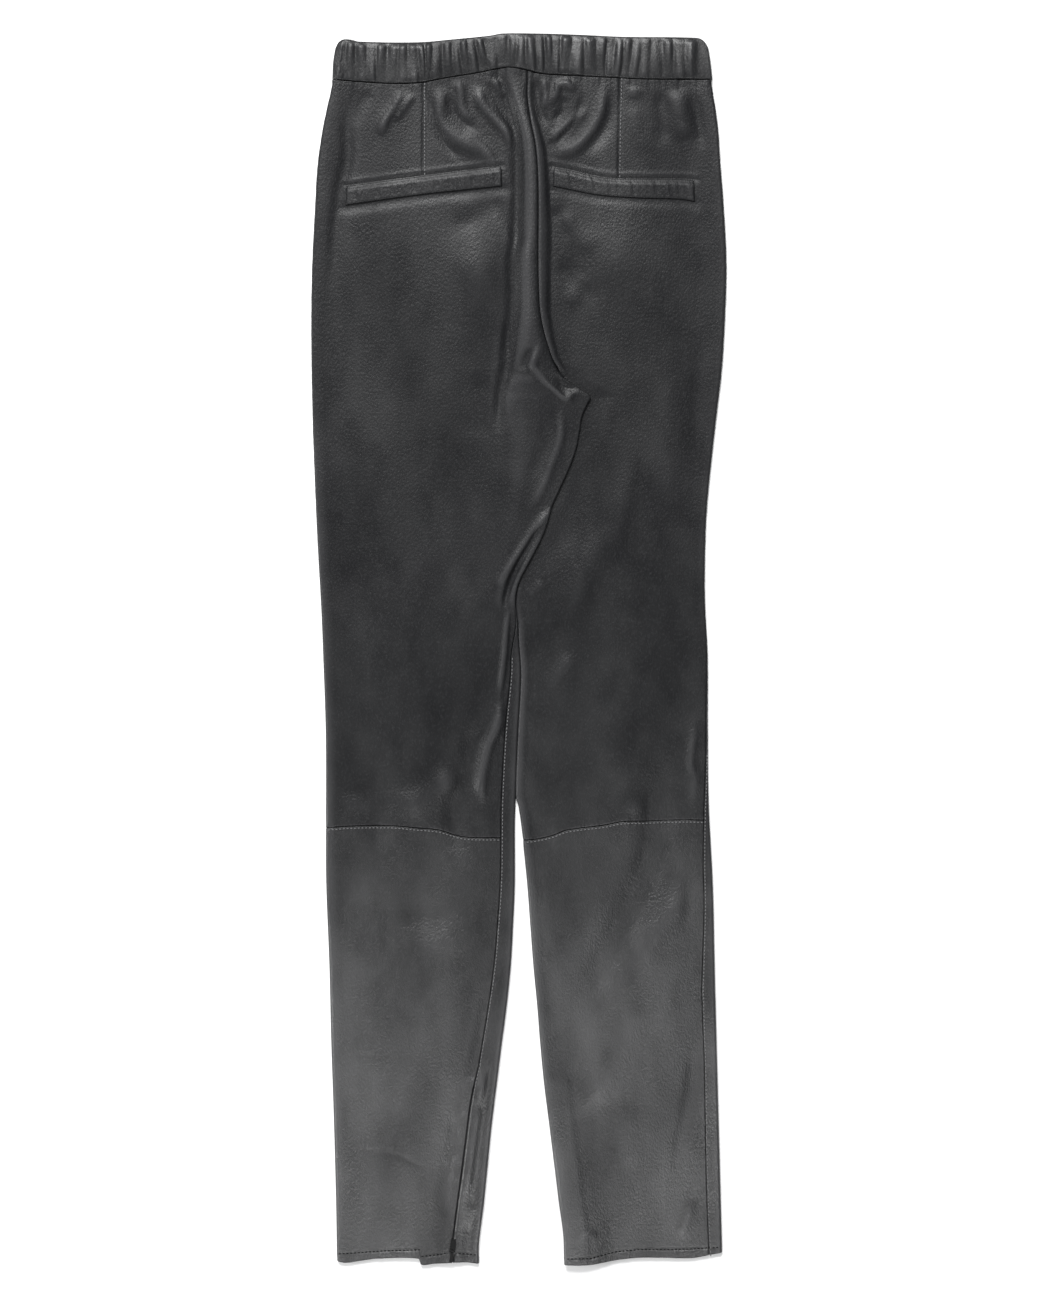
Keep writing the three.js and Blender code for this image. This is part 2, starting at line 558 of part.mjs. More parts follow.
// A closed skin over outer and inner rows; a ring's last column meets its first.
function shell(outerRows, innerRows, ring) {
  const high = outerRows.length;
  const wide = outerRows[0].length;
  const positions = [outerRows, innerRows].flat(2).flatMap((p) => [p.x, p.y, p.z]);
  const outer = (i, j) => i * wide + j % wide;
  const inner = (i, j) => (high + i) * wide + j % wide;
  const faces = [];
  const quad = (a, b, c, d) => faces.push(a, b, c, a, c, d);
  const span = ring ? wide : wide - 1;
  for (let i = 0; i < high - 1; i += 1) {
    for (let j = 0; j < span; j += 1) {
      quad(outer(i, j), outer(i + 1, j), outer(i + 1, j + 1), outer(i, j + 1));
      quad(inner(i, j), inner(i, j + 1), inner(i + 1, j + 1), inner(i + 1, j));
    }
    if (!ring) {
      quad(outer(i, 0), inner(i, 0), inner(i + 1, 0), outer(i + 1, 0));
      quad(outer(i, span), outer(i + 1, span), inner(i + 1, span), inner(i, span));
    }
  }
  for (let j = 0; j < span; j += 1) {
    quad(outer(0, j), outer(0, j + 1), inner(0, j + 1), inner(0, j));
    quad(outer(high - 1, j), inner(high - 1, j), inner(high - 1, j + 1), outer(high - 1, j + 1));
  }
  const geometry = new THREE.BufferGeometry();
  geometry.setAttribute('position', new THREE.Float32BufferAttribute(positions, 3));
  geometry.setIndex(faces);
  return geometry;
}

// The band: a flat ring with pleats raised over a plain inside. Share runs from its top edge to its seam.
function bandRing(share) {
  const crests = PLEATS.map((pleat) => ({ x: pleat.x + pleat.lean * share, height: pleat.height }));
  const columns = crests.flatMap((crest, i) => {
    const next = crests[i + 1];
    if (!next) return [crest];
    const valley = { x: (crest.x + next.x) / 2, height: 0 };
    const slope = { x: (crest.x + valley.x) / 2, height: crest.height * 0.5 };
    const rise = { x: (valley.x + next.x) / 2, height: next.height * 0.5 };
    return [crest, slope, valley, rise];
  });
  const swell = BAND_TOP + (share < 0.05 ? -0.9 : 0);
  const depth = share < 0.05 ? 0.5 : 1 - 0.2 * share;
  const seamY = (x, sine) => (
    WAIST_Y + mix(FRONT_WAIST_RISE, waistSeamRise(x), (sine + 1) / 2) + SEAM_GAP + WAIST_EASE);
  const yAt = (x, sine) => mix(bandTopY(x), seamY(x, sine), share);
  const left = bandLeft(yAt(-156, 0));
  const right = bandRight(yAt(162, 0));
  const middle = (left + right) / 2;
  const half = swell / 2;
  const turn = (edge, side, degrees) => {
    const angle = THREE.MathUtils.degToRad(degrees);
    return { x: edge - side * half * (1 - Math.cos(angle)), sine: Math.sin(angle) };
  };
  const loop = [
    ...[-60, -20, 20, 60].map((degrees) => turn(left, -1, degrees)),
    ...columns.map(({ x, height }) => ({ x, sine: 1, height: height * depth })),
    ...[60, 20, -20, -60].map((degrees) => turn(right, 1, degrees)),
    ...steps(0.92, -0.92, 6).map((t) => ({ x: middle + t * (right - middle), sine: -1 })),
  ];
  const outer = loop.map(({ x, sine, height = 0 }) => (
    new THREE.Vector3(x, yAt(x, sine), half + half * sine + height)));
  const innerMiddle = (BAND_WALL + BAND_INNER_TOP) / 2;
  const shrink = 1 - BAND_SIDE_WALL / (right - middle);
  const inner = loop.map(({ x, sine }) => new THREE.Vector3(
    middle + (x - middle) * shrink, yAt(x, sine), innerMiddle + (BAND_INNER_TOP - innerMiddle) * sine));
  return { outer, inner };
}

// A pocket welt lies on its back panel, from the panel's own heights.
function weltRows({ upper, lower, from, to }, half) {
  return [0, 0.5, 1].map((down) => steps(from, to, WELT_COLUMNS).map((place) => {
    const y = mix(upper(place), lower(place), down);
    return new THREE.Vector3(place, y, upperHeight(half, place, y) + WELT_STAND + WELT_THICKNESS);
  }));
}

// The woven tape behind a zip's slit
function tapeRows(zip, half) {
  return steps(ZIP_TOP_Y, ZIP_END_Y, TAPE_ROWS).map((y) => [-0.5, 0, 0.5].map((side) => {
    const x = zip(y) + side * ZIP_TAPE_WIDTH;
    return new THREE.Vector3(x, y, half.under(x, y) + WALL + SEAM_GAP + ZIP_TAPE_THICKNESS);
  }));
}

function toSolid(geometry) {
  const bare = geometry.clone();
  bare.deleteAttribute('normal');
  bare.deleteAttribute('uv');
  const merged = mergeVertices(bare, 1e-4);
  return new wasm.Manifold(new wasm.Mesh({
    numProp: 3,
    vertProperties: new Float32Array(merged.attributes.position.array),
    triVerts: new Uint32Array(merged.index.array),
  }));
}

function joined(geometries) {
  const mesh = geometries.map(toSolid).reduce((a, b) => a.add(b)).getMesh();
  const geometry = new THREE.BufferGeometry();
  geometry.setAttribute('position', new THREE.Float32BufferAttribute(mesh.vertProperties, 3));
  geometry.setIndex([...mesh.triVerts]);
  return geometry;
}

function prism(points, depth) {
  const shape = new THREE.Shape(points.map(([x, y]) => new THREE.Vector2(x, y)));
  return new THREE.ExtrudeGeometry(shape, { depth, bevelEnabled: false });
}

// The slider about its bar: its body lies towards the waist, and two lugs hold the bar.
function sliderGeometry() {
  const near = RING_RADIUS + SEAM_GAP;
  const half = SLIDER_WIDTH / 2;
  const body = prism([
    [-half * 0.75, near], [half * 0.75, near], [half, near + 2], [half, near + SLIDER_LENGTH - 2],
    [half * 0.6, near + SLIDER_LENGTH], [-half * 0.6, near + SLIDER_LENGTH],
    [-half, near + SLIDER_LENGTH - 2], [-half, near + 2],
  ], SLIDER_HEIGHT).translate(0, 0, -RING_RADIUS);
  const lugSide = [[-0.9, -0.5], [-0.6, -0.9], [near + 1, -0.9], [near + 1, 0.15], [0.5, 0.8], [-0.5, 0.8]];
  const lugs = [-1, 1].map((side) => prism(lugSide, LUG_THICKNESS)
    .rotateY(Math.PI / 2).rotateX(Math.PI / 2)
    .translate(side * (LUG_GAP + LUG_THICKNESS) / 2 - LUG_THICKNESS / 2, 0, 0));
  const bar = new THREE.CylinderGeometry(BAR_RADIUS, BAR_RADIUS, LUG_GAP + LUG_THICKNESS, 12)
    .rotateZ(Math.PI / 2);
  return joined([body, ...lugs, bar]);
}

// The pull tab about the same bar: a ring round the bar and a plate that lies towards the hem.
function tabGeometry() {
  const half = TAB_WIDTH / 2;
  const bore = new THREE.Vector2(RING_BORE, -half);
  const profile = [
    bore,
    new THREE.Vector2(RING_RADIUS, -half),
    new THREE.Vector2(RING_RADIUS, half),
    new THREE.Vector2(RING_BORE, half),
    bore,
  ];
  const ring = new THREE.LatheGeometry(profile, 20).rotateZ(Math.PI / 2);
  const plate = prism([
    [-half, -TAB_LENGTH + TAB_CORNER], [-half + TAB_CORNER, -TAB_LENGTH],
    [half - TAB_CORNER, -TAB_LENGTH], [half, -TAB_LENGTH + TAB_CORNER], [half, -1], [-half, -1],
  ], TAB_THICKNESS).translate(0, 0, -TAB_THICKNESS / 2);
  return joined([ring, plate]);
}

const group = new THREE.Group();

function add(name, geometry, look, parent = group) {
  const mesh = new THREE.Mesh(geometry, new THREE.MeshStandardMaterial(look));
  mesh.name = name;
  parent.add(mesh);
}

const waistBend = { level: WAIST_Y, rise: waistSeamRise, fade: WAIST_FADE };
const kneeBend = { level: KNEE_Y, rise: kneeSeamRise, fade: KNEE_FADE };
const hemBend = { level: HEM_Y, rise: hemRise, fade: HEM_FADE };
const frontBends = [{ level: WAIST_Y, rise: () => FRONT_WAIST_RISE, fade: WAIST_FADE }, hemBend];
const crotchStretches = [
  { from: 238, rows: 5 }, { from: CROTCH_TIP_Y, rows: 5 }, { from: 160, rows: 7 }, { from: 30, rows: 5 },
];
const shinStretches = [{ from: KNEE_Y, rows: 5 }, { from: ZIP_TOP_Y, rows: 3 }, { from: -460, rows: 3 }];
const upperLevels = levels([
  { from: WAIST_Y, rows: 6 }, { from: 400, rows: 5 }, { from: 275, rows: 3 }, ...crotchStretches,
], KNEE_Y);
const lowerLevels = levels(shinStretches, HEM_Y);
const frontLevels = levels([
  { from: WAIST_Y, rows: 3 }, { from: 400, rows: 3 }, { from: 275, rows: 2 },
  ...crotchStretches, ...shinStretches,
], HEM_Y);
const belowKneeSeam = (y) => y - SEAM_GAP * (1 - smoothstep(0, 5, KNEE_Y - y));
const asItIs = (y) => y;

for (const [side, half] of [['left', lefts], ['right', rights]]) {
  const back = backColumns(half);
  const front = frontColumns(half);
  add(`back_${side}_upper`, panel(half, back, upperLevels, [waistBend, kneeBend], asItIs), LEATHER);
  add(`back_${side}_lower`, panel(half, back, lowerLevels, [kneeBend, hemBend], belowKneeSeam), LEATHER);
  add(`front_${side}`, panel(half, front, frontLevels, frontBends, asItIs), LEATHER);
  add(`pocket_welt_${side}`, wall(weltRows(WELTS[side], half), WELT_THICKNESS), LEATHER);
}

const bandRings = [0, 0.1, 0.55, 1].map(bandRing);
add('waistband', shell(bandRings.map((r) => r.outer), bandRings.map((r) => r.inner), true), BAND_LEATHER);

// The left zip faces up and the right one faces down, each at the foot of its inner seam.
const leatherAtBar = Math.max(...steps(-4, 4, 5).flatMap((x) => steps(-9, 9, 5).map((y) => (
  upperHeight(lefts, zipLeft(BAR_Y) + x, BAR_Y + y)))));
const leftBarZ = leatherAtBar + SEAM_GAP + RING_RADIUS;
const zips = [
  { side: 'left', place: zipLeft, half: lefts, barZ: leftBarZ, turn: 0, tilt: TAB_TILT },
  { side: 'right', place: zipRight, half: rights, barZ: RIGHT_BAR_Z, turn: Math.PI, tilt: -TAB_TILT },
];
for (const { side, place, half, barZ, turn, tilt } of zips) {
  add(`zip_tape_${side}`, wall(tapeRows(place, half), ZIP_TAPE_THICKNESS), TAPE_CLOTH);
  const lean = Math.atan2(place(ZIP_TOP_Y) - place(ZIP_END_Y), ZIP_TOP_Y - ZIP_END_Y);
  const hardware = new THREE.Group();
  hardware.position.set(place(BAR_Y), BAR_Y, barZ);
  hardware.rotation.set(0, turn, -lean, 'ZYX');
  group.add(hardware);
  add(`zip_slider_${side}`, sliderGeometry(), DARK_METAL, hardware);
  add(`zip_pull_tab_${side}`, tabGeometry().rotateX(tilt), DARK_METAL, hardware);
}

export default group;
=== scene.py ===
# Pull-on leather trousers, laid flat with the back up, seen from straight above.
# Forms are worked out in millimetres and turned to metres when a mesh is made.
# X runs across, Y from the hems up to the waist, Z up. The left leg is at -X.

import bpy
import numpy as np
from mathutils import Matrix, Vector
from mathutils.bvhtree import BVHTree
from types import SimpleNamespace


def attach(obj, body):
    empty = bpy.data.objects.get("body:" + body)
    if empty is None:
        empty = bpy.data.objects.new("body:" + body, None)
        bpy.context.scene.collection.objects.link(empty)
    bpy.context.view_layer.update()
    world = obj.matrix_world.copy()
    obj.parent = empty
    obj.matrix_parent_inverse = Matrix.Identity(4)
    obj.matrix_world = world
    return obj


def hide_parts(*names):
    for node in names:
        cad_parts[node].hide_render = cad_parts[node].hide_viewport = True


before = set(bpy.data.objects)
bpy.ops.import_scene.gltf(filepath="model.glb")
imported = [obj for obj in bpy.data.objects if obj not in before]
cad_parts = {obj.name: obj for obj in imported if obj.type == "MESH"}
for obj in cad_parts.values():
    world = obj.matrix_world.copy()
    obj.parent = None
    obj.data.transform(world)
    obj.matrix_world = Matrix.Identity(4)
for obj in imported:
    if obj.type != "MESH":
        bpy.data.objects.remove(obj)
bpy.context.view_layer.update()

MM = 0.001

# The leather and how its layers lie
WALL = 1.1
SEAM_GAP = 0.3
UPPER_LAYER_TOP = 3.1
PUFF = 1.1
LOWEST_DENT = -1.2
EDGE_ROUND = 1.2
EDGE_DROP = 0.55
OUTER_BLEND = 14
INNER_BLEND = 5
CREST_SHARE = 0.85
# Smoothing passes for the crest mask that drives a painted highlight on the crests
CREST_HIGHLIGHT_PASSES = 24

# The fold along the seat and the hollow at its left foot
RIDGE_CREST = 0.42
RIDGE_ROUND = 0.8
FOOT_DEPTH = 1.3
FOOT_SHIFT = 1.5
FOOT_WIDTH = 3.8
FOOT_END_Y = 175
FOOT_FULL_Y = 260

# The flap at the crotch: its lift starts at the first height and is full at the second
FLAP_LIFT = 3.4
FLAP_RAMP = 8.5
FLAP_SLOPE = 34
RAMP_END = 3.5
FLAP_UNDER_Y = (243, 231)
FLAP_TOP_Y = (275, 222)

# Heights down the garment
WAIST_Y = 478
KNEE_Y = -152
HEM_Y = -517.5
CROTCH_TIP_Y = 214
SEAT_SEAM_END_Y = 236
LEFT_FRONT_CROTCH_Y = 226
RIGHT_FRONT_CROTCH_Y = 232
CROTCH_FADE = 4
SEAT_FADE = 9
FLAP_SETTLED_Y = 7
FLAP_END_Y = 45
FLAP_COVERS_FROM_Y = 30
FLAP_COVERS_TO_Y = 242
FLAP_COVER_FADES = (10, 25)
FLAP_CLEAR = 24
CENTRE_FRONT_X = 3
CENTRE_FRONT_STRIP = 5
FRONT_WAIST_RISE = 3.4
WAIST_EASE = 0.3
WAIST_FADE = 100
KNEE_FADE = 60
HEM_FADE = 40

# The least distance from a seam to the end of a panel's columns round that edge
OUTER_TURN = 2
INNER_TURN = 4
FRONT_INNER_TURN = 2
FRONT_OUTER_TURN = 1

# The band
BAND_WALL = 1.8
BAND_TOP = 4.3
BAND_INNER_TOP = 2.5
BAND_SIDE_WALL = 2.2
BAND_DOME = 0.7
BAND_LEVEL_Y = 481
BAND_LEFT_X = -156
BAND_RIGHT_X = 162
BAND_HEIGHT = 36
BAND_EDGE_ROUND = 1.6
BAND_EDGE_DROP = 0.9
BAND_UPPER_SIDE_ABOVE = 2
BAND_ROWS = 34
BAND_COLUMNS = 420
BAND_EDGE_COLUMNS = 12
BAND_EDGE_TURN = 80
BAND_UNDER_COLUMNS = 60

# The ankle zips
ZIP_TOP_Y = -368
ZIP_END_Y = -515
ZIP_SLIT = 1
ZIP_TAPE_WIDTH = 9
ZIP_TAPE_THICKNESS = 1
ZIP_SWELL = 1.1
SWELL_REACH = 14
SWELL_FLAT = 5.5
DENT_DEPTH = 3.2
DENT_REACH = 18
DENT_FLAT = 7.5
DENT_START_Y = -430
DENT_FULL_Y = -492
SOFT_DENT_REACH = 36
SOFT_DENT_START_Y = -395
SWELL_FADE = 10
TAPE_ROWS = 60
TAPE_COLUMNS = 9
TAPE_RIB = 0.12

# Thread
STITCH_PITCH = 3.1
STITCH_LENGTH = 2.3
THREAD_WIDTH = 0.85
THREAD_STAND = 0.25
GUIDE_STEP = 1.5
LEVELLED_OVER = 5
INSEAM_STITCH_OFFSET = 1.3
OUTSEAM_STITCH_OFFSET = 1.2
KNEE_STITCH_OFFSET = -1.7


def mix(a, b, share):
    return a + (b - a) * share


def bell(distance):
    return np.exp(-distance * distance)


def smoothstep(start, end, value):
    share = np.clip((value - start) / (end - start), 0, 1)
    return share * share * (3 - 2 * share)


def line(rows):
    """A smooth line through rows of (at, value), level past its ends."""
    at, value = np.array(sorted(rows), float).T
    ahead = np.minimum(np.arange(len(at)) + 1, len(at) - 1)
    behind = np.maximum(np.arange(len(at)) - 1, 0)
    slope = (value[ahead] - value[behind]) / (at[ahead] - at[behind])

    def curve(where):
        where = np.clip(where, at[0], at[-1])
        i = np.clip(np.searchsorted(at, where, side="right") - 1, 0, len(at) - 2)
        span = at[i + 1] - at[i]
        t = (where - at[i]) / span
        s = 1 - t
        return (value[i] * (1 + 2 * t) * s * s + slope[i] * span * t * s * s
                + value[i + 1] * (3 - 2 * t) * t * t - slope[i + 1] * span * t * t * s)

    return curve


# Edges of the legs: y, x
SEAT_SEAM = [(481, 7.7), (467, 7.7), (447, 10.6), (425, 14.8), (393, 16.9), (328, 16.9), (289, 18.2),
             (270, 21.5), (255, 25.8), (245, 29.2)]
left_outer = line([
    (478, -157.5), (444, -165), (410, -170), (376, -172), (326, -174.5), (275, -175.3),
    (207, -174.5), (157, -172.8), (98, -170.3), (38, -167), (-4, -165.2), (-71, -163),
    (-151, -163), (-198, -162.7), (-266, -160), (-333, -158.3), (-401, -156), (-469, -154.2),
    (-519, -153.4)])
right_outer = line([
    (478, 163.5), (444, 168.6), (410, 171), (376, 173.6), (326, 176), (275, 174.5), (236, 172),
    (199, 167.7), (170, 164.4), (132, 160.5), (102, 158.5), (48, 157.7), (-4, 160),
    (-71, 160.2), (-131, 161), (-198, 164.4), (-266, 166), (-333, 167.7), (-401, 169.5),
    (-469, 171.3), (-519, 172.6)])
left_inner = line(SEAT_SEAM + [
    (236, 33.4), (229.5, 39.3), (224.5, 45.2),
    (219.5, 53), (214, 61), (208, 58.7), (199, 54.5), (186, 52), (170, 49), (152, 42.5),
    (132, 33.4), (120, 28.3), (102, 23.2), (87, 16.3), (73, 8.9), (60, 2.1), (48, -1.7),
    (35, -2.1), (21, -0.4), (7, 0.4), (-21, 2.1), (-71, -0.4), (-124, -2.3), (-151, -3),
    (-198, -3), (-232, -4.4), (-266, -6.3), (-300, -9.7), (-333, -14), (-367, -18.2),
    (-401, -22.4), (-435, -25.8), (-469, -29.2), (-502, -33.2), (-519, -33.4)])
right_inner = line([
    (236, 3.8), (224, 6.3), (214, 9.2), (170, 9), (118, 5.5), (75, 2.6), (60, 0.6),
    (48, -2), (35, -2.4), (21, -0.7), (7, 0.1), (-21, 1.8), (-71, -0.7), (-124, -2.6),
    (-131, -0.4), (-147, 2.1), (-164, 3.8), (-198, 7.2), (-232, 9.7), (-266, 12.3),
    (-300, 15.6), (-333, 18.2), (-367, 21.5), (-401, 25.8), (-435, 30), (-469, 34.2),
    (-494, 37.6), (-519, 38.4)])
right_back_border = line(SEAT_SEAM + [(237, 33), (232, 31.5), (226, 24), (220, 14.5), (214, 9.2)])

# The ridge that carries the seat seam, between two valleys: y, x and y, height
left_valley = line([
    (485, -15.6), (468, -10.6), (454, -5.9), (430, -1.6), (401, -0.4), (353, -1.6), (328, -4.6),
    (289, -4.6), (260, -9.7), (226, -13.9), (201, -16.5), (168, -18)])
right_valley = line([
    (481, 12), (468, 11.5), (457, 13), (438, 19), (420, 23.4), (372, 26.3), (353, 27.2),
    (328, 26.8), (299, 26.5), (284, 27), (257, 31.5), (238, 40), (214, 64)])
ridge_height = line([
    (485, 1.5), (457, 3.4), (430, 5), (401, 5.6), (328, 5.6), (289, 6.2), (262, 5.8), (245, 5),
    (230, 3.9), (205, 2.2), (180, 0.9), (150, 0)])

# How high each edge is rolled over the surface below it: y, height
outer_roll = line([(478, 5), (430, 5.1), (376, 5.1), (200, 4.9), (0, 4.5), (-152, 4.3), (-519, 4.1)])
left_inner_roll = line([(236, 3.2), (60, 3.2), (20, 3.8), (-30, 4.3), (-519, 4.2)])
right_inner_roll = line([(236, 3.1), (60, 3.1), (20, 3.8), (-30, 4.3), (-519, 4.2)])

# How far each seam lies in from its edge, on the underside where it is negative: y, inset
left_inseam = line([
    (236, 0), (40, 0), (20, 2), (-5, 7.6), (-21, 8.9), (-56, 10.6), (-120, 12), (-159, 11.8),
    (-219, 12.9), (-272, 14.4), (-301, 15.6), (-349, 17.4), (-368, 19.2), (-389, 20.2),
    (-415, 20.8), (-443, 21.6), (-468, 22.4), (-507, 22.4), (-519, 22.6)])
right_outseam = line([
    (478, 0), (20, 0), (0, 0.8), (-50, 1.6), (-105, 2.4), (-146, 5), (-184, 7.4), (-219, 8),
    (-266, 10.2), (-289, 11.4), (-349, 11), (-455, 11.8), (-519, 11)])
left_outseam = line([(478, 0), (200, 0), (0, -4), (-152, -8), (-370, -12), (-519, -14)])
right_inseam = line([(236, 0), (100, 0), (0, -3), (-152, -7), (-300, -11), (-519, -11)])

# How far the cross seams and hems rise over their level: x, rise
waist_seam_rise = line([
    (-158, 3.4), (-132, 1.4), (-106, 0), (-84, 0.6), (-60, 5), (-34, 9.2), (-20, 12.2),
    (-9, 13.8), (4, 12), (20, 8.4), (50, 6.6), (77, 5.2), (105, 3.8), (130, 3.6), (164, 3.4)])
knee_seam_rise = line([
    (-163, 1), (-140, 2.6), (-107, 2.8), (-86, 1), (-67, -0.8), (-47, -6.5), (-15, -7.5),
    (7, -9.2), (27, -5.8), (41, -0.8), (73, 3.4), (87, 6.2), (107, 6.7), (141, 7.8), (157, 7.6)])
hem_rise = line([
    (-153, 0), (-146, -1), (-133, 0.8), (-120, 2.5), (-84, 2.5), (-82.4, -2.5), (-72, -1.8),
    (-58, -1), (-45, -0.6), (-33, -1.8), (38, -2.6), (60, -2.4), (86, 1.8), (104, 3.4),
    (120, 3.4), (147, 3), (160, 5.4), (173, 7.6)])

# Creases over the upper side: points along each, its half width and its height in mm.
# A crease with a height below zero is a trough.
WAIST_CREASES = [
    ([(-153, 476), (-162, 449), (-165, 413), (-168, 375), (-170, 337)], 7, 1.3),
    ([(-141, 476), (-145, 449), (-145, 416), (-151, 389), (-155, 361), (-157, 325), (-160, 289)],
     5.5, -1.7),
    ([(-96, 474), (-105, 459), (-114, 445), (-118, 432)], 4, 1.5),
    ([(-88, 471), (-97, 458), (-106, 445)], 3.2, 0.9),
    ([(-125, 474), (-133, 459), (-138, 440)], 6, -0.6),
    ([(-65, 478), (-66, 464), (-66, 447), (-53, 433), (-34, 422), (-17, 413)], 6, 1.4),
    ([(-52, 483), (-49, 471), (-47, 456), (-37, 444)], 4, 1.3),
    ([(-61, 470), (-55, 456), (-44, 444), (-32, 435)], 3.5, -0.9),
    ([(-33, 478), (-32, 464), (-22, 451), (-9, 436), (-2, 416)], 4.5, 1.7),
    ([(-25, 482), (-20, 468), (-13, 454), (-7, 440)], 3, -0.8),
    ([(-19, 484), (-16, 475), (-11, 466)], 3, 0.9),
    ([(20, 483), (23, 471), (20, 456)], 3, 1.2),
    ([(49, 470), (42, 478), (34, 477), (31, 469), (23, 456)], 3.2, 1.6),
    ([(59, 458), (46, 447), (33, 435), (27, 425)], 4, 1.4),
    ([(39, 468), (37, 456), (28, 444)], 3.5, -0.9),
    ([(72, 482), (71, 459), (65, 444), (53, 429), (39, 421), (27, 415)], 5, 1.9),
    ([(77, 476), (75, 449), (66, 431), (51, 419)], 6, -1.4),
    ([(15, 484), (16, 470), (19, 455), (25, 440)], 3.4, -1.6),
    ([(99, 476), (97, 465)], 5, 0.8),
    ([(119, 474), (122, 449), (121, 423)], 6, -1),
    ([(133, 476), (137, 452), (142, 428)], 8.5, 1.8),
    ([(147, 473), (153, 444), (156, 420)], 4.5, -1.3),
    ([(152, 480), (162, 461), (169, 440), (171, 418), (167, 394), (162, 374)], 5.5, 1.5),
]
SEAT_CREASES = [
    ([(-76, 474), (-72, 450), (-60, 425), (-44, 412)], 3.2, -1),
    ([(-46, 440), (-30, 425), (-16, 404)], 4, 0.9),
    ([(98, 462), (100, 440), (110, 418)], 7, 0.6),
    ([(56, 474), (50, 452), (38, 436), (24, 424)], 2.8, -1.2),
    ([(30, 375), (36, 358), (45, 343)], 6, -0.7),
    ([(34, 372), (48, 352), (70, 338)], 9, 0.8),
    ([(32, 330), (50, 310), (76, 296)], 10, -0.7),
    ([(-12, 384), (-34, 366), (-66, 352)], 9, -0.7),
    ([(57, 318), (49, 304), (40, 288)], 7, 0.6),
    ([(3, 352), (-23, 332), (-53, 304)], 20, 1.1),
    ([(-6, 284), (-7, 256), (-9, 239), (-14, 220), (-16, 198), (-14, 178)], 4, -2.2),
    ([(20.5, 260), (14.6, 249.5), (12.2, 239.2), (18.2, 231.6), (23.3, 224.8), (30, 219), (40, 211.3),
      (47, 217), (57, 213)], 2.6, 2),
    ([(11, 256), (6, 244), (4, 234)], 3.5, -1),
    ([(31, 227), (41, 221), (50, 222)], 2.6, -1.2),
    ([(35, 207), (35, 179), (27, 155), (20, 136), (4, 107)], 3.5, 1.2),
    ([(25, 208), (23, 179), (16, 158), (6, 132)], 6, -0.8),
]
THIGH_CREASES = [
    ([(32, 124), (18, 106), (5, 87), (-12, 63), (-20, 50)], 3.2, 1.8),
    ([(23, 110), (11, 91), (-1, 69), (-9, 48), (-13, 29)], 3, -3.6),
    ([(-8, 37), (-10, 20), (-12, -4), (-15, -28), (-18, -47)], 2.6, 2.4),
    ([(-32, 237), (-35, 203), (-39, 175)], 12, -0.6),
    ([(56, 170), (50, 136), (37, 98), (23, 60)], 11, -1.3),
    ([(102, 170), (89, 128), (82, 100), (61, 74), (45, 38), (30, 12)], 11, 1.4),
    ([(47, -2), (34, -21), (21, -40)], 7, 0.9),
    ([(154, 270), (152, 198), (153, 103), (150, 32)], 7, -0.7),
    ([(20, 58), (6, 43)], 5, 0.8),
]
KNEE_CREASES = [
    ([(-16, -30), (-17, -61), (-25, -80), (-30, -101), (-32, -118), (-30, -134)], 5, 1.3),
    ([(-32, -53), (-39, -80), (-43, -103), (-52, -126), (-52, -153), (-48, -180)], 10, -1.1),
    ([(-48, -104), (-69, -117), (-86, -129), (-107, -142)], 12, 1),
    ([(-157, -127), (-138, -132), (-117, -139)], 8, 0.6),
    ([(136, -70), (123, -113), (119, -139), (116, -168), (107, -193), (89, -230), (73, -263),
      (61, -292), (54, -320)], 14, -1.6),
    ([(153, -49), (146, -94), (150, -111), (144, -133)], 5, 1.3),
    ([(148, -182), (144, -215), (141, -249)], 6, -0.35),
    ([(149, -193), (122, -233), (109, -252), (101, -277)], 12, 0.9),
    ([(-106, -220), (-73, -223), (-34, -215)], 15, -0.8),
    ([(-88, -257), (-65, -249), (-39, -246)], 9, 0.3),
    ([(-120, -146), (-121, -158), (-119, -170)], 3, -0.25),
]
CALF_CREASES = [
    ([(107, -298), (87, -341), (70, -370), (45, -391)], 9, 1.1),
    ([(150, -327), (146, -370), (138, -410), (130, -455)], 6, -1.1),
    ([(148, -463), (142, -483), (135, -499)], 5, 0.9),
    ([(-25, -277), (-29, -310), (-36, -346), (-44, -374)], 5.5, -1),
    ([(-51, -386), (-53, -415), (-61, -453), (-65, -484)], 7, -1.2),
    ([(-51, -427), (-53, -434), (-57, -437)], 2.8, 0.45),
    ([(-52, -443), (-55, -448), (-60, -452)], 2.8, 0.45),
    ([(-47, -406), (-51, -411)], 2.4, 0.3),
    ([(-137, -422), (-104, -427), (-75, -440)], 1.8, -0.5),
    ([(-137, -343), (-120, -345)], 2.4, -0.5),
    ([(-32, -386), (-36, -405), (-41, -439), (-45, -465)], 3.4, 0.6),
    ([(-23, -342), (-30, -363), (-32, -387)], 4, 0.9),
    ([(-37, -468), (-40, -478), (-44, -489)], 4, 0.5),
    ([(45, -500), (59, -495), (68, -496)], 3, 0.9),
    ([(95, -443), (90, -410), (93, -382)], 10, 0.6),
]
KNEE_CREASE_SCALE = 2.2
CALF_CREASE_SCALE = 1.3

# How a crease ends, as shares of its length, how far its flanks reach, and how uneven it is
FADE_IN = 0.24
FADE_OUT = 0.68
CREASE_REACH = 2.6
UNEVEN_SHARE = 0.16
UNEVEN_TURNS = 8.5
PHASE_STEP = 0.37

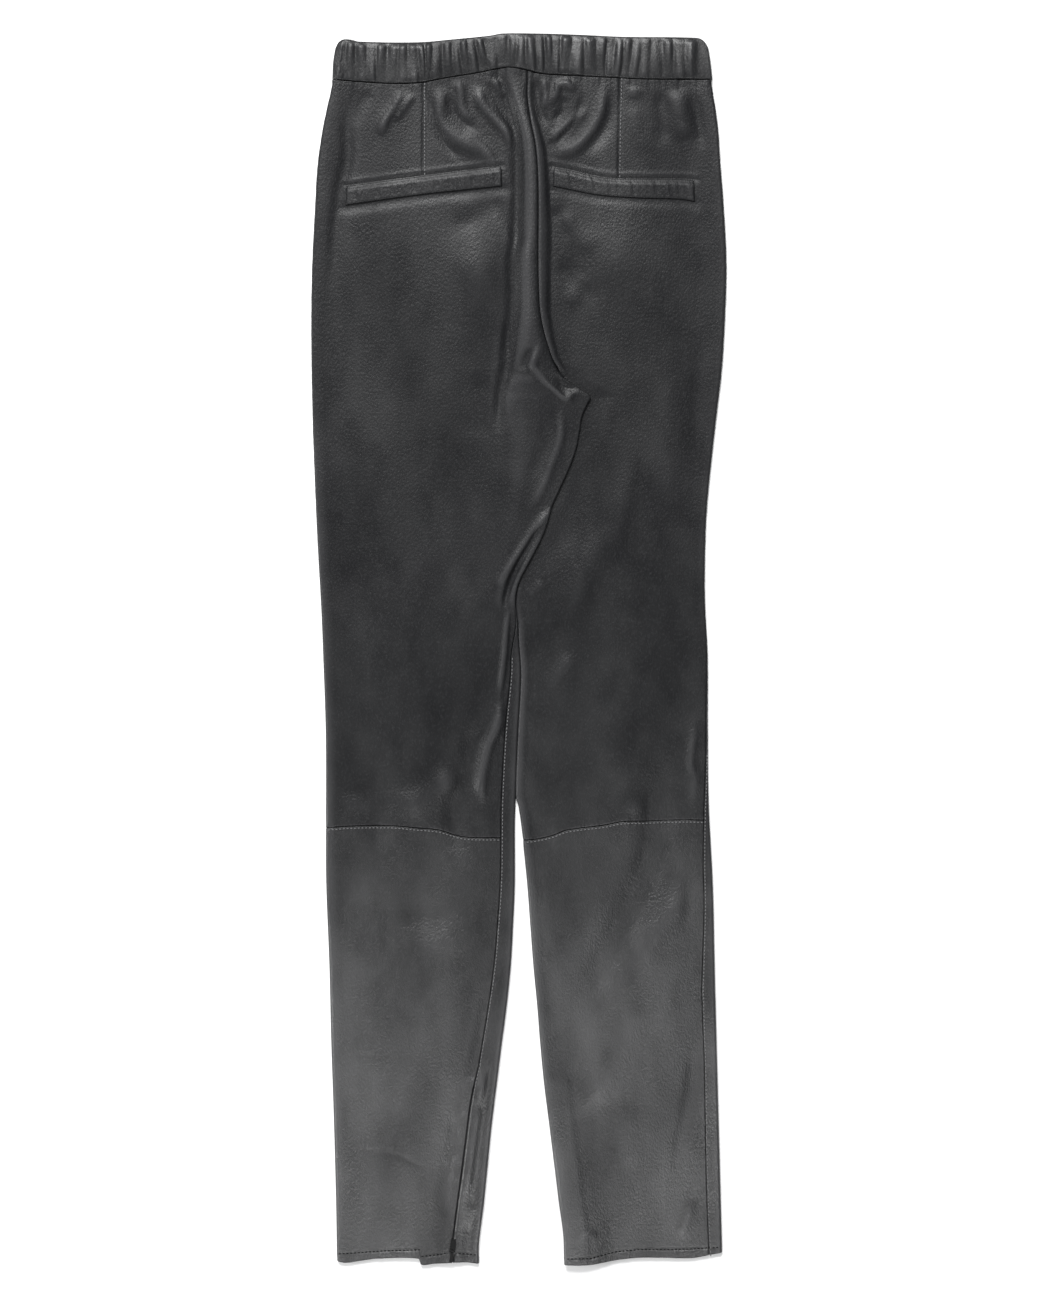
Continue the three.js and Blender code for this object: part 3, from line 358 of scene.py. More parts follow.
# Low mounds and hollows: x, y, reach across, reach along, height
MOUNDS = [
    (-32, 322, 34, 44, 2.6),
    (80, 330, 26, 32, 2),
    (-110, 335, 40, 60, 1),
    (120, 335, 24, 50, 0.8),
    (-107, -128, 12, 9, 0.9),
    (98, -133, 9, 7, 0.8),
    (20, 262, 13, 24, 1.2),
    (-95, -175, 30, 14, 0.8),
    (-45, -178, 14, 8, 0.8),
    (-70, -290, 36, 50, 0.9),
    (-110, -400, 26, 60, 0.7),
    (60, -230, 22, 60, 0.9),
    (125, -330, 22, 70, 0.9),
    (80, -440, 22, 40, 0.8),
    (-120, 60, 34, 130, 0.9),
    (-70, 140, 30, 60, -0.5),
    (110, 60, 26, 100, 0.9),
    (-90, -60, 40, 60, 0.8),
    (90, -90, 30, 50, 0.7),
]

# Lines that the hems and the pocket mouths follow: x, y
HEM_LINES = {
    "left": [(-154, -511), (-137, -510), (-114, -508.3), (-83.5, -507.4)],
    "left_zip": [(-81.5, -513), (-66, -511.2), (-60, -509.6), (-49, -510.6), (-32, -512)],
    "right": [(37, -514.6), (61, -514.4), (82, -509.1), (104, -507), (126, -507.2), (147, -506.7),
              (174, -505)],
}
POCKET_MOUTHS = [
    [(-147, 392.6), (-80, 401.2), (-14, 409.6)],
    [(28, 409), (45, 405.8), (67, 400.6), (86, 398.6), (137, 398.6), (151, 397.4)],
]
LIP_ABOVE_MOUTH = 2.8

# Where darts, hems, pocket mouths and welts' lower edges press the leather in: points, half width, depth
GROOVES = [([(-80, 484), (-80, 402)], 1, -1.1), ([(86.6, 486), (85.4, 440), (84.9, 400)], 1, -1.1)]
GROOVES += [(hem, 1.1, -0.8) for hem in HEM_LINES.values()]
GROOVES += [(mouth, 1.3, -1.6) for mouth in POCKET_MOUTHS]
GROOVES += [([(x, y + LIP_ABOVE_MOUTH) for x, y in mouth], 2.2, 0.4) for mouth in POCKET_MOUTHS]
GROOVES += [
    ([(-147, 373), (-80, 382.2), (-43, 386.4), (-11, 389.6)], 4.6, -0.9),
    ([(28, 389.2), (45, 386), (67, 381.8), (101, 379.2), (137, 378), (151, 376.6)], 4, -0.5),
]

# Band pleats: where each crest stands, how high it is and how far its foot leans
PLEATS = [
    (-149, 1.9, -2), (-141.5, 1.8, -1), (-133, 2, 0), (-124, 1.1, 2), (-117, 1.6, 1), (-106, 1.7, 0),
    (-97.5, 1.9, -1), (-89, 1.8, 1), (-82, 1.5, 2), (-76, 1.8, -3), (-69, 1, -2), (-60, 1.7, 3),
    (-52.5, 1.1, 1), (-46, 1.3, 2), (-39, 1.4, 1), (-32.5, 1.5, 3), (-26, 1.2, 4), (-13, 0.9, 0),
    (-5.5, 1, 0), (2, 1.6, 0), (10.5, 2, 1), (18.5, 1.8, 0), (25, 1.5, -1), (31.5, 1.2, 1),
    (39, 2, -2), (51, 1.7, -1), (60.5, 1.3, 1), (71.5, 1.7, 1), (78, 1.4, -2), (87, 2, -5),
    (93.5, 1.7, -5), (100.5, 1.3, -4), (108, 1.4, -2), (117, 1, 0), (126, 1.6, 0), (135.5, 1.3, 1),
    (147.5, 1.9, 0)]
band_top_y = line([
    (-156, 506), (-152, 513.5), (-146, 516), (-136, 514), (-85, 513.4), (-54, 516), (-24, 519),
    (-14, 520.8), (17, 520.8), (54, 519.6), (88, 518), (149, 517.2), (156, 515), (162, 507)])
band_left = line([(516, -152.5), (500, -156.4), (480, -157.6)])
band_right = line([(516, 158.5), (500, 162), (480, 164.2)])

# Pocket welts: ends, upper edge and lower edge: x, y
WELTS = {
    "left": (-146, -14,
             line([(-146, 391.5), (-80, 400), (-15.6, 408.3)]),
             line([(-145.5, 375.5), (-80, 384.5), (-43, 388.5), (-12.6, 391.8)])),
    "right": (29.5, 149,
              line([(29, 407.5), (45, 404.5), (67, 399.3), (86, 397.5), (137, 397.5), (150, 396)]),
              line([(29, 391.5), (45, 388.3), (67, 384), (101, 381.4), (137, 380.3), (148.5, 378.5)])),
}
WELT_STAND = 0.4
WELT_THICKNESS = 1
WELT_WIDTH = 16
WELT_SINK = 0.6
WELT_ROUND = 1.8
WELT_EDGE_DROP = 1.1
WELT_GATHERS = 0.28
SLIT_DEPTH = 1.3
SLIT_SHARE = 0.3
WELT_ROWS = 22
WELT_COLUMNS = 150


def smooth_path(points, steps=6):
    points = np.array(points, float)
    order = range(len(points))
    fine = np.linspace(0, len(points) - 1, (len(points) - 1) * steps + 1)
    return np.stack([line(list(zip(order, points[:, axis])))(fine) for axis in (0, 1)], axis=1)


def along_and_away(path, x, y):
    """Where along a path each place lies, from 0 to 1, and how far from it."""
    start = path[:-1]
    run = path[1:] - start
    from_x = x[:, None] - start[:, 0]
    from_y = y[:, None] - start[:, 1]
    share = np.clip((from_x * run[:, 0] + from_y * run[:, 1]) / (run ** 2).sum(1), 0, 1)
    away = np.hypot(from_x - share * run[:, 0], from_y - share * run[:, 1])
    nearest = away.argmin(1)
    pick = (np.arange(len(x)), nearest)
    return (nearest + share[pick]) / len(run), away[pick]


class Crease:
    """A soft trough or ridge along a path, uneven along its length."""

    def __init__(self, points, width, height, fades=True):
        self.path = smooth_path(points)
        self.width = width
        self.height = height
        self.fades = fades
        self.phase = points[0][0] * PHASE_STEP

    def add_to(self, total, x, y):
        reach = CREASE_REACH * self.width
        low = self.path.min(0) - reach
        high = self.path.max(0) + reach
        near = (x > low[0]) & (x < high[0]) & (y > low[1]) & (y < high[1])
        if not near.any():
            return
        along, away = along_and_away(self.path, x[near], y[near])
        fade = smoothstep(0, FADE_IN, along) * smoothstep(1, FADE_OUT, along) if self.fades else 1
        uneven = 1 + UNEVEN_SHARE * np.sin(UNEVEN_TURNS * along + self.phase)
        total[near] += self.height * bell(away / self.width) * fade * uneven


ALL_CREASES = [Crease(*row) for row in WAIST_CREASES + SEAT_CREASES + THIGH_CREASES]
for scale, creases in ((KNEE_CREASE_SCALE, KNEE_CREASES), (CALF_CREASE_SCALE, CALF_CREASES)):
    ALL_CREASES += [Crease(points, width, scale * height) for points, width, height in creases]
ALL_CREASES += [Crease(*row, fades=False) for row in GROOVES]


def soft_form(x, y):
    """What the creases, grooves and mounds add at each place."""
    flat_x = np.ravel(x)
    flat_y = np.ravel(y)
    total = np.zeros(len(flat_x))
    for crease in ALL_CREASES:
        crease.add_to(total, flat_x, flat_y)
    for at_x, at_y, across, along, height in MOUNDS:
        total += height * np.exp(-((flat_x - at_x) / across) ** 2 - ((flat_y - at_y) / along) ** 2)
    return total.reshape(np.shape(x))


def ridge(x, y):
    """The raised fold along the seat: its left flank is steeper and its right edge is tucked in."""
    left = left_valley(y)
    across = np.clip((x - left) / (right_valley(y) - left), 0, 1)
    rise = np.sin(np.pi / 2 * np.clip(across / RIDGE_CREST, 0, 1)) ** 2
    fall = np.clip(1 - ((across - RIDGE_CREST) / (1 - RIDGE_CREST)) ** 2, 0, 1) ** RIDGE_ROUND
    foot = FOOT_DEPTH * bell((x - left + FOOT_SHIFT) / FOOT_WIDTH) * smoothstep(FOOT_END_Y, FOOT_FULL_Y, y)
    return ridge_height(y) * np.where(across < RIDGE_CREST, rise, fall) - foot


def flap_lift(x, y, starts, ramp):
    """How far the left leg's flap is lifted where it lies over the right leg."""
    edge = right_inner(y)
    start, full = starts
    along = smoothstep(FLAP_SETTLED_Y, FLAP_END_Y, y) * (1 - smoothstep(full, start, y))
    return FLAP_LIFT * smoothstep(edge - RAMP_END - ramp, edge - RAMP_END, x) * along


def zip_left(y):
    return left_inner(y) - left_inseam(y)


def zip_right(y):
    return right_inner(y) - right_inseam(y)


def zip_dent(x, y, reach, start_y):
    """The share of the room that the right pull tab takes beneath the leg."""
    return smoothstep(reach, DENT_FLAT, np.abs(x - zip_right(y))) * smoothstep(start_y, DENT_FULL_Y, y)


def over_zip(x, place, y):
    return (smoothstep(SWELL_REACH, SWELL_FLAT, np.abs(x - place))
            * smoothstep(ZIP_TOP_Y + SWELL_FADE, ZIP_TOP_Y, y))


def left_under(x, y):
    return flap_lift(x, y, FLAP_UNDER_Y, FLAP_RAMP)


def left_upper(x, y):
    across = np.clip((x - left_outer(y)) / (left_inner(y) - left_outer(y)), 0, 1)
    lift = flap_lift(x, y, FLAP_TOP_Y, FLAP_SLOPE)
    fold = ridge(x, y)
    raised = np.where(fold > 0, np.hypot(fold, lift), fold + lift)
    soft = np.maximum(PUFF * np.sin(np.pi * across) + soft_form(x, y) + raised, LOWEST_DENT)
    return UPPER_LAYER_TOP + soft + ZIP_SWELL * over_zip(x, zip_left(y), y)


def right_under(x, y):
    return DENT_DEPTH * zip_dent(x, y, DENT_REACH, DENT_START_Y)


def right_upper(x, y):
    across = np.clip((x - right_inner(y)) / (right_outer(y) - right_inner(y)), 0, 1)
    fade_top, fade_foot = FLAP_COVER_FADES
    covered = (smoothstep(FLAP_COVERS_TO_Y, FLAP_COVERS_TO_Y - fade_top, y)
               * smoothstep(FLAP_COVERS_FROM_Y, FLAP_COVERS_FROM_Y + fade_foot, y))
    clear = 1 - covered * smoothstep(FLAP_CLEAR, 1, x - left_inner(y))
    dent = zip_dent(x, y, SOFT_DENT_REACH, SOFT_DENT_START_Y)
    swell = ZIP_SWELL * over_zip(x, zip_right(y), y) + DENT_DEPTH * dent
    soft = PUFF * np.sin(np.pi * across) + soft_form(x, y)
    soft = np.minimum(soft, soft * clear) + ridge(x, y) * (1 - covered)
    return UPPER_LAYER_TOP + np.maximum(soft, LOWEST_DENT) + swell


HALVES = {
    "left": SimpleNamespace(
        side=-1, outer=left_outer, inner=left_inner, outer_seam=left_outseam, inner_seam=left_inseam,
        inner_roll=left_inner_roll, seat_border=left_inner, seat_end_y=SEAT_SEAM_END_Y,
        front_crotch_y=LEFT_FRONT_CROTCH_Y, zip_place=zip_left, under=left_under, upper=left_upper),
    "right": SimpleNamespace(
        side=1, outer=right_outer, inner=right_inner, outer_seam=right_outseam, inner_seam=right_inseam,
        inner_roll=right_inner_roll, seat_border=right_back_border, seat_end_y=CROTCH_TIP_Y,
        front_crotch_y=RIGHT_FRONT_CROTCH_Y, zip_place=zip_right, under=right_under, upper=right_upper),
}


def upper_height(half, x, y):
    """Height of the upper side, blended to the rolled edges."""
    crest = outer_roll(y)
    from_outer = np.abs(x - half.outer(y))
    from_inner = np.abs(x - half.inner(y))
    plain = half.upper(x, y)
    near_outer = bell(np.maximum(from_outer - crest / 2, 0) / OUTER_BLEND)
    past_roll = np.maximum(from_inner - half.inner_roll(y) / 2, 0)
    near_inner = bell(past_roll / INNER_BLEND) * (y <= SEAT_SEAM_END_Y)
    inner = half.under(x, y) + half.inner_roll(y)
    return mix(mix(plain, crest, CREST_SHARE * near_outer), np.maximum(plain, inner), near_inner)


def ring_point(half, at_inner, y, distance):
    """Points on a leg's ring, by their distance round it from the middle of an edge's roll."""
    edge = half.inner(y) if at_inner else half.outer(y)
    inward = half.side if at_inner else -half.side
    radius = (half.inner_roll(y) if at_inner else outer_roll(y)) / 2
    around = np.abs(distance)
    on_roll = around <= radius * np.pi / 2
    angle = np.where(on_roll, around / radius, np.pi / 2)
    inset = np.where(on_roll, radius * (1 - np.cos(angle)), radius + around - radius * np.pi / 2)
    x = edge + inward * inset
    level_x = np.where(on_roll, edge + inward * radius, x)
    top = upper_height(half, level_x, y)
    bottom = half.under(level_x, y)
    z = (top + bottom) / 2 + (top - bottom) / 2 * np.sin(angle) * np.sign(distance)
    return np.stack([x, y, z], axis=-1)


def arc_of(half, at_inner, y):
    return (half.inner_roll(y) if at_inner else outer_roll(y)) * np.pi / 4


def seam_distance(half, at_inner, y):
    """How far round the roll a seam lies, from how far it stands in from the edge."""
    inset = half.inner_seam(y) if at_inner else half.outer_seam(y)
    arc = arc_of(half, at_inner, y)
    radius = arc * 2 / np.pi
    size = np.abs(inset)
    around = np.where(size < radius, radius * np.arccos(np.clip(1 - size / radius, -1, 1)),
                      size - radius + arc)
    return np.sign(inset) * around


def half_gap(half, at_inner, y):
    zipped = (half.side < 0) & at_inner & (y < ZIP_TOP_Y)
    return np.where(zipped, ZIP_SLIT, SEAM_GAP) / 2


def ease_in(count):
    """Shares from 0 to 1 that lie closer together towards 1."""
    return 1 - (1 - np.linspace(0, 1, count)) ** 1.5


def seam_and_turn(half, at_inner, y, side, least_turn):
    """Distances round an edge of a panel's seam and of the end of its columns there.

    The side is 1 for a back panel, above the seam, and -1 for a front panel, below it."""
    seam = seam_distance(half, at_inner, y) + side * half_gap(half, at_inner, y)
    return seam, side * np.maximum(arc_of(half, at_inner, y), side * seam + least_turn)


def turn_x(half, at_inner, y, side, least_turn):
    turn = seam_and_turn(half, at_inner, y, side, least_turn)[1]
    return ring_point(half, at_inner, y, turn)[..., 0]


def back_surface(half, y, around_outer, across, around_inner):
    """A back panel's outer points. The three counts are its columns round each edge and between."""
    first = y[:, :around_outer]
    second = y[:, around_outer:]

    def top_points(x, level):
        return np.stack([x, level, upper_height(half, x, level)], axis=-1)

    seam, turn = seam_and_turn(half, False, first, 1, OUTER_TURN)
    outer_part = ring_point(half, False, first, mix(turn, seam, ease_in(around_outer)[::-1]))
    seat_shares = np.linspace(0, 1, across + around_inner + 1)[1:]
    seat_edge = half.seat_border(second) + half.side * SEAM_GAP / 2
    seat_x = mix(turn_x(half, False, second, 1, OUTER_TURN), seat_edge, seat_shares)
    middle = second[:, :across]
    last = second[:, across:]
    leg_shares = np.linspace(0, 1, across + 1)[1:]
    leg_x = mix(turn_x(half, False, middle, 1, OUTER_TURN), turn_x(half, True, middle, 1, INNER_TURN),
                leg_shares)
    seam, turn = seam_and_turn(half, True, last, 1, INNER_TURN)
    leg_roll = ring_point(half, True, last, mix(turn, seam, ease_in(around_inner + 1)[1:]))
    seat_share = smoothstep(half.seat_end_y - SEAT_FADE, half.seat_end_y, second)
    top = top_points(mix(leg_x, seat_x[:, :across], seat_share[:, :across]), middle)
    rest = mix(leg_roll, top_points(seat_x[:, across:], last), seat_share[:, across:, None])
    return np.concatenate([outer_part, top, rest], axis=1)


def front_surface(half, y, around_inner, under, around_outer):
    """A front panel's outer points, from its inner seam round under the leg to its outer seam."""
    first = y[:, :around_inner]
    last = y[:, around_inner + under:]
    middle = y[:, around_inner:around_inner + under]

    def flat(x, level):
        return np.stack([x, level, half.under(x, level)], axis=-1)

    def seat_share(level):
        return smoothstep(half.front_crotch_y, half.front_crotch_y + CROTCH_FADE, level)

    seam, turn = seam_and_turn(half, True, first, -1, FRONT_INNER_TURN)
    on_leg = ring_point(half, True, first, mix(seam, turn, ease_in(around_inner)))
    centre = CENTRE_FRONT_X + half.side * SEAM_GAP / 2
    strip = half.side * np.linspace(0, CENTRE_FRONT_STRIP, around_inner)
    seat_x = centre + strip * np.ones_like(first)
    inner_part = mix(on_leg, flat(seat_x, first), seat_share(first)[..., None])

    seat_start = centre + half.side * CENTRE_FRONT_STRIP
    start = mix(turn_x(half, True, middle, -1, FRONT_INNER_TURN), seat_start, seat_share(middle))
    finish = turn_x(half, False, middle, -1, FRONT_OUTER_TURN)
    under_part = flat(mix(start, finish, np.linspace(0, 1, under + 1)[1:]), middle)

    seam, turn = seam_and_turn(half, False, last, -1, FRONT_OUTER_TURN)
    outer_part = ring_point(half, False, last, mix(turn, seam, ease_in(around_outer + 1)[1:]))
    return np.concatenate([inner_part, under_part, outer_part], axis=1)


def levels(stretches, end):
    """Heights from rows of (from, spacing): each stretch is divided evenly."""
    result = []
    for i, (start, spacing) in enumerate(stretches):
        stop = stretches[i + 1][0] if i + 1 < len(stretches) else end
        count = max(1, round((start - stop) / spacing))
        result.extend(mix(start, stop, np.arange(count) / count))
    return np.array(result + [end], float)


def bent(surface, level_rows, columns, bends, drop=0):
    """The rows of a surface, bent to the seams and hems near them."""
    level = np.repeat(level_rows[:, None], columns, axis=1)
    x = surface(level)[..., 0]
    y = level.copy()
    for at, rise, fade in bends:
        y += rise(x) * (1 - smoothstep(0, fade, np.abs(level - at)))
    return surface(y - drop)


def normals_of(points):
    down = np.gradient(points, axis=0)
    along = np.gradient(points, axis=1)
    normal = np.cross(down, along)
    return normal / np.maximum(np.linalg.norm(normal, axis=-1, keepdims=True), 1e-9)


def run_lengths(points, axis):
    """Distance along the rows or columns from their first point."""
    steps = np.linalg.norm(np.diff(points, axis=axis), axis=-1)
    shape = list(steps.shape)
    shape[axis] = 1
    return np.concatenate([np.zeros(shape), np.cumsum(steps, axis=axis)], axis=axis)


# Gathers beside a seam: length of each wave, its share and its shift
PUCKER_WAVES = [(5.1, 0.45, 0.3), (8.3, 0.35, 1.9), (13.7, 0.4, 4.1), (23, 0.3, 2.2)]


def puckers(place):
    return sum(share * np.sin(2 * np.pi * place / length + shift)
               for length, share, shift in PUCKER_WAVES)


def finished_wall(points, pucker_depth):
    """Rounds a panel's borders, gathers the leather beside them, and gives its outer and inner points.

    pucker_depth gives their depth, their reach and the rounding's drop at each border."""
    normal = normals_of(points)
    across = run_lengths(points, 1)
    down = run_lengths(points, 0)
    borders = {
        "top": (down, points[..., 0]),
        "bottom": (down[-1:] - down, points[..., 0]),
        "first": (across, points[..., 1]),
        "last": (across[:, -1:] - across, points[..., 1]),
    }
    height = np.zeros(points.shape[:2])
    for name, (distance, place) in borders.items():
        inside = np.clip(1 - distance / EDGE_ROUND, 0, 1)
        depth, reach, drop = pucker_depth.get(name, (0, 1, EDGE_DROP))
        height -= drop * (1 - np.sqrt(1 - inside ** 2))
        height += depth * puckers(place) * bell(distance / reach)
    outer = points + normal * height[..., None]
    return outer, points - normal * WALL


def placed(name, data):
    """Puts a mesh, lamp or camera in the scene."""
    thing = bpy.data.objects.new(name, data)
    bpy.context.scene.collection.objects.link(thing)
    return thing


def make_mesh(name, points, quads):
    mesh = bpy.data.meshes.new(name)
    mesh.vertices.add(len(points))
    mesh.vertices.foreach_set("co", (points * MM).astype(np.float32).ravel())
    mesh.loops.add(quads.size)
    mesh.loops.foreach_set("vertex_index", quads.astype(np.int32).ravel())
    mesh.polygons.add(len(quads))
    mesh.polygons.foreach_set("loop_start", np.arange(0, quads.size, 4, dtype=np.int32))
    mesh.polygons.foreach_set("use_smooth", np.ones(len(quads), bool))
    mesh.update(calc_edges=True)
    mesh.validate()
    return placed(name, mesh)


def wall(name, outer, inner, ring=False):
    """A closed wall between two grids of points; a ring's last column meets its first."""
    rows, wide = outer.shape[:2]
    points = np.concatenate([outer.reshape(-1, 3), inner.reshape(-1, 3)])
    index = np.arange(rows * wide).reshape(rows, wide)
    if ring:
        index = np.concatenate([index, index[:, :1]], axis=1)
    inside = index + rows * wide

    def quads(a, b, c, d):
        return np.stack([a.ravel(), b.ravel(), c.ravel(), d.ravel()], axis=1)

    faces = [
        quads(index[:-1, :-1], index[1:, :-1], index[1:, 1:], index[:-1, 1:]),
        quads(inside[:-1, :-1], inside[:-1, 1:], inside[1:, 1:], inside[1:, :-1]),
        quads(index[0, :-1], index[0, 1:], inside[0, 1:], inside[0, :-1]),
        quads(index[-1, :-1], inside[-1, :-1], inside[-1, 1:], index[-1, 1:]),
    ]
    if not ring:
        faces.append(quads(index[:-1, 0], inside[:-1, 0], inside[1:, 0], index[1:, 0]))
        faces.append(quads(index[:-1, -1], index[1:, -1], inside[1:, -1], inside[:-1, -1]))
    return make_mesh(name, points, np.concatenate(faces))


def store(piece, name, outer_values):
    """Keeps one value for each outer point on the mesh; the inner points get none."""
    values = np.zeros(len(piece.data.vertices), np.float32)
    values[:outer_values.size] = outer_values.ravel()
    piece.data.attributes.new(name, "FLOAT", "POINT").data.foreach_set("value", values)


# This crest mask lightens the base colour on crests: a painted highlight
def painted_crest_highlight(points):
    """How far each place stands proud of its surroundings: crests are above 0 and hollows below."""
    height = points[..., 2]
    soft = height.copy()
    for _ in range(CREST_HIGHLIGHT_PASSES):
        padded = np.pad(soft, 1, mode="edge")
        soft = (padded[:-2, 1:-1] + padded[2:, 1:-1] + padded[1:-1, :-2] + padded[1:-1, 2:]) / 4
    return height - soft


WAIST_BEND = (WAIST_Y, waist_seam_rise, WAIST_FADE)
KNEE_BEND = (KNEE_Y, knee_seam_rise, KNEE_FADE)
HEM_BEND = (HEM_Y, hem_rise, HEM_FADE)
FRONT_BEND = (WAIST_Y, lambda x: FRONT_WAIST_RISE + 0 * x, WAIST_FADE)

# Rows of points down each panel: from, spacing
ANKLE_ROWS = [(-368, 1.8), (-500, 1.2), (-514, 0.7)]
UPPER_LEVELS = levels([(WAIST_Y, 0.6), (475, 1.4), (270, 1.2), (190, 1.6), (20, 2), (-146, 0.8)], KNEE_Y)
LOWER_LEVELS = levels([(KNEE_Y, 0.5), (-156, 2)] + ANKLE_ROWS, HEM_Y)
FRONT_LEVELS = levels([(WAIST_Y, 0.8), (474, 4), (250, 2), (190, 3), (30, 2.2)] + ANKLE_ROWS, HEM_Y)
KNEE_GAP_FADE = 5
LOWER_DROP = SEAM_GAP * (1 - smoothstep(0, KNEE_GAP_FADE, KNEE_Y - LOWER_LEVELS))[:, None]

# Columns of points across each panel, round its two edges and between them
BACK_COLUMNS = {"upper": (9, 108, 8), "lower": (9, 82, 9)}
FRONT_COLUMNS = {"left": (22, 44, 8), "right": (8, 44, 16)}

cloth = {}


# Gathers along each border of a panel: their depth, their reach and the rounding's drop
UPPER_PUCKERS = {
    "top": (0.3, 8, 0), "bottom": (0.25, 6, 0.8), "first": (0.1, 4, 0.5), "last": (0.1, 4, 0.5)}
LOWER_PUCKERS = {
    "top": (0.25, 6, 0), "bottom": (0.35, 6, 0.5), "first": (0.1, 4, 0.5), "last": (0.15, 5, 0.5)}
FRONT_PUCKERS = {"bottom": (0.3, 6, 0.5), "first": (0.12, 4, 0.5), "last": (0.12, 4, 0.5)}


def add_panel(node, points, puckering, half):
    if half.side > 0:
        points = points[:, ::-1]
        puckering = dict(puckering, first=puckering["last"], last=puckering["first"])
    outer, inner = finished_wall(points, puckering)
    cloth[node] = wall(f"{node}_leather", outer, inner)
    # Crest mask for the painted highlight on crests
    store(cloth[node], "painted_crest_highlight", painted_crest_highlight(outer))


def add_back(side, part, rows, bends, drop, puckering):
    half = HALVES[side]
    counts = BACK_COLUMNS[part]
    points = bent(lambda y: back_surface(half, y, *counts), rows, sum(counts), bends, drop)
    add_panel(f"back_{side}_{part}", points, puckering, half)


def add_front(side):
    half = HALVES[side]
    counts = FRONT_COLUMNS[side]
    bends = [FRONT_BEND, HEM_BEND]
    points = bent(lambda y: front_surface(half, y, *counts), FRONT_LEVELS, sum(counts), bends)
    add_panel(f"front_{side}", points, FRONT_PUCKERS, half)


for side in HALVES:
    add_back(side, "upper", UPPER_LEVELS, [WAIST_BEND, KNEE_BEND], 0, UPPER_PUCKERS)
    add_back(side, "lower", LOWER_LEVELS, [KNEE_BEND, HEM_BEND], LOWER_DROP, LOWER_PUCKERS)
    add_front(side)


PLEAT_ROUND = 1.3
PLEAT_END_WIDTH = 3


def pleat_height(x, share):
    """The band's gathers at a share of its height, from its top edge to its seam.

    Slow sine waves keep the crests, their heights and the hollows between them uneven."""
    crest, height, lean = np.array(PLEATS).T
    at = crest + lean * share + 0.9 * np.sin(3.1 * share + crest)
    height = height * (0.72 + 0.34 * np.sin(4.2 * share + 2.3 * crest))
    i = np.clip(np.searchsorted(at, x) - 1, 0, len(at) - 2)
    t = min(max((x - at[i]) / (at[i + 1] - at[i]), 0), 1)
    lower = np.minimum(height[i], height[i + 1])
    floor = 0.6 * lower * (0.5 + 0.5 * np.sin(2.9 * i + 2 * share))
    left = floor + (height[i] - floor) * max(1 - (2 * t) ** 2, 0) ** PLEAT_ROUND
    right = floor + (height[i + 1] - floor) * max(1 - (2 - 2 * t) ** 2, 0) ** PLEAT_ROUND
    if x < at[0]:
        return height[0] * bell((x - at[0]) / PLEAT_END_WIDTH)
    if x > at[-1]:
        return height[-1] * bell((x - at[-1]) / PLEAT_END_WIDTH)
    waves = 0.35 * np.sin(x / 7.3 + 1) + 0.25 * np.sin(x / 4.1) + 0.5 * np.sin(x / 19)
    return (left if t < 0.5 else right) + waves


def band_surface(share, count):
    """One ring of the band at a share of its height: outer and inner points."""
    left_top = band_top_y(BAND_LEFT_X)
    right_top = band_top_y(BAND_RIGHT_X)
    left = band_left(mix(left_top, BAND_LEVEL_Y, share))
    right = band_right(mix(right_top, BAND_LEVEL_Y, share))
    middle = (left + right) / 2
    half = BAND_TOP / 2
    turn = np.radians(np.linspace(-BAND_EDGE_TURN, BAND_EDGE_TURN, BAND_EDGE_COLUMNS))
    top_count = count - 2 * BAND_EDGE_COLUMNS - BAND_UNDER_COLUMNS
    stretches = [
        (left + half * (1 - np.cos(turn)), np.sin(turn), 0),
        (np.linspace(left + half, right - half, top_count), np.ones(top_count), 1),
        (right - half * (1 - np.cos(turn[::-1])), np.sin(turn[::-1]), 0),
        (np.linspace(right - half, left + half, BAND_UNDER_COLUMNS), -np.ones(BAND_UNDER_COLUMNS), 0),
    ]
    x = np.concatenate([stretch_x for stretch_x, _, _ in stretches])
    sine = np.concatenate([stretch_sine for _, stretch_sine, _ in stretches])
    on_top = np.concatenate([np.full(len(stretch_x), top) for stretch_x, _, top in stretches])
    depth = (0.08 + 0.92 * smoothstep(0, 0.16, share)) * (1 - 0.35 * smoothstep(0.85, 1, share))
    pleats = np.array([pleat_height(value, share) for value in x]) * on_top * depth
    dome = BAND_DOME * np.sin(np.pi * share) * (sine + 1) / 2
    seam = (WAIST_Y + mix(FRONT_WAIST_RISE, waist_seam_rise(x), (sine + 1) / 2)
            + SEAM_GAP + WAIST_EASE)
    y = mix(band_top_y(x), seam, share)
    outer = np.stack([x, y, half + half * sine + pleats + dome], axis=-1)
    inner_middle = (BAND_WALL + BAND_INNER_TOP) / 2
    shrink = 1 - BAND_SIDE_WALL / (right - middle)
    inner = np.stack([middle + (x - middle) * shrink, y,
                      inner_middle + (BAND_INNER_TOP - inner_middle) * sine], axis=-1)
    return outer, inner


BAND_FIRST_SHARES = [0, 0.02, 0.05]
BAND_LAST_SHARES = [0.965, 0.985, 1]
band_middle_shares = np.linspace(0.08, 0.94, BAND_ROWS - len(BAND_FIRST_SHARES) - len(BAND_LAST_SHARES))
band_shares = np.concatenate([BAND_FIRST_SHARES, band_middle_shares, BAND_LAST_SHARES])
rings = [band_surface(share, BAND_COLUMNS) for share in band_shares]
band_outer = np.stack([ring[0] for ring in rings])
band_inner = np.stack([ring[1] for ring in rings])
for from_edge in (band_shares, 1 - band_shares):
    inside = np.clip(1 - from_edge[:, None] * BAND_HEIGHT / BAND_EDGE_ROUND, 0, 1)
    on_top = band_outer[..., 2] > BAND_UPPER_SIDE_ABOVE
    band_outer[..., 2] -= BAND_EDGE_DROP * (1 - np.sqrt(1 - inside ** 2)) * on_top
cloth["waistband"] = wall("waistband_leather", band_outer, band_inner, ring=True)
# Crest mask for the painted highlight on the band's crests
store(cloth["waistband"], "painted_crest_highlight", painted_crest_highlight(band_outer))


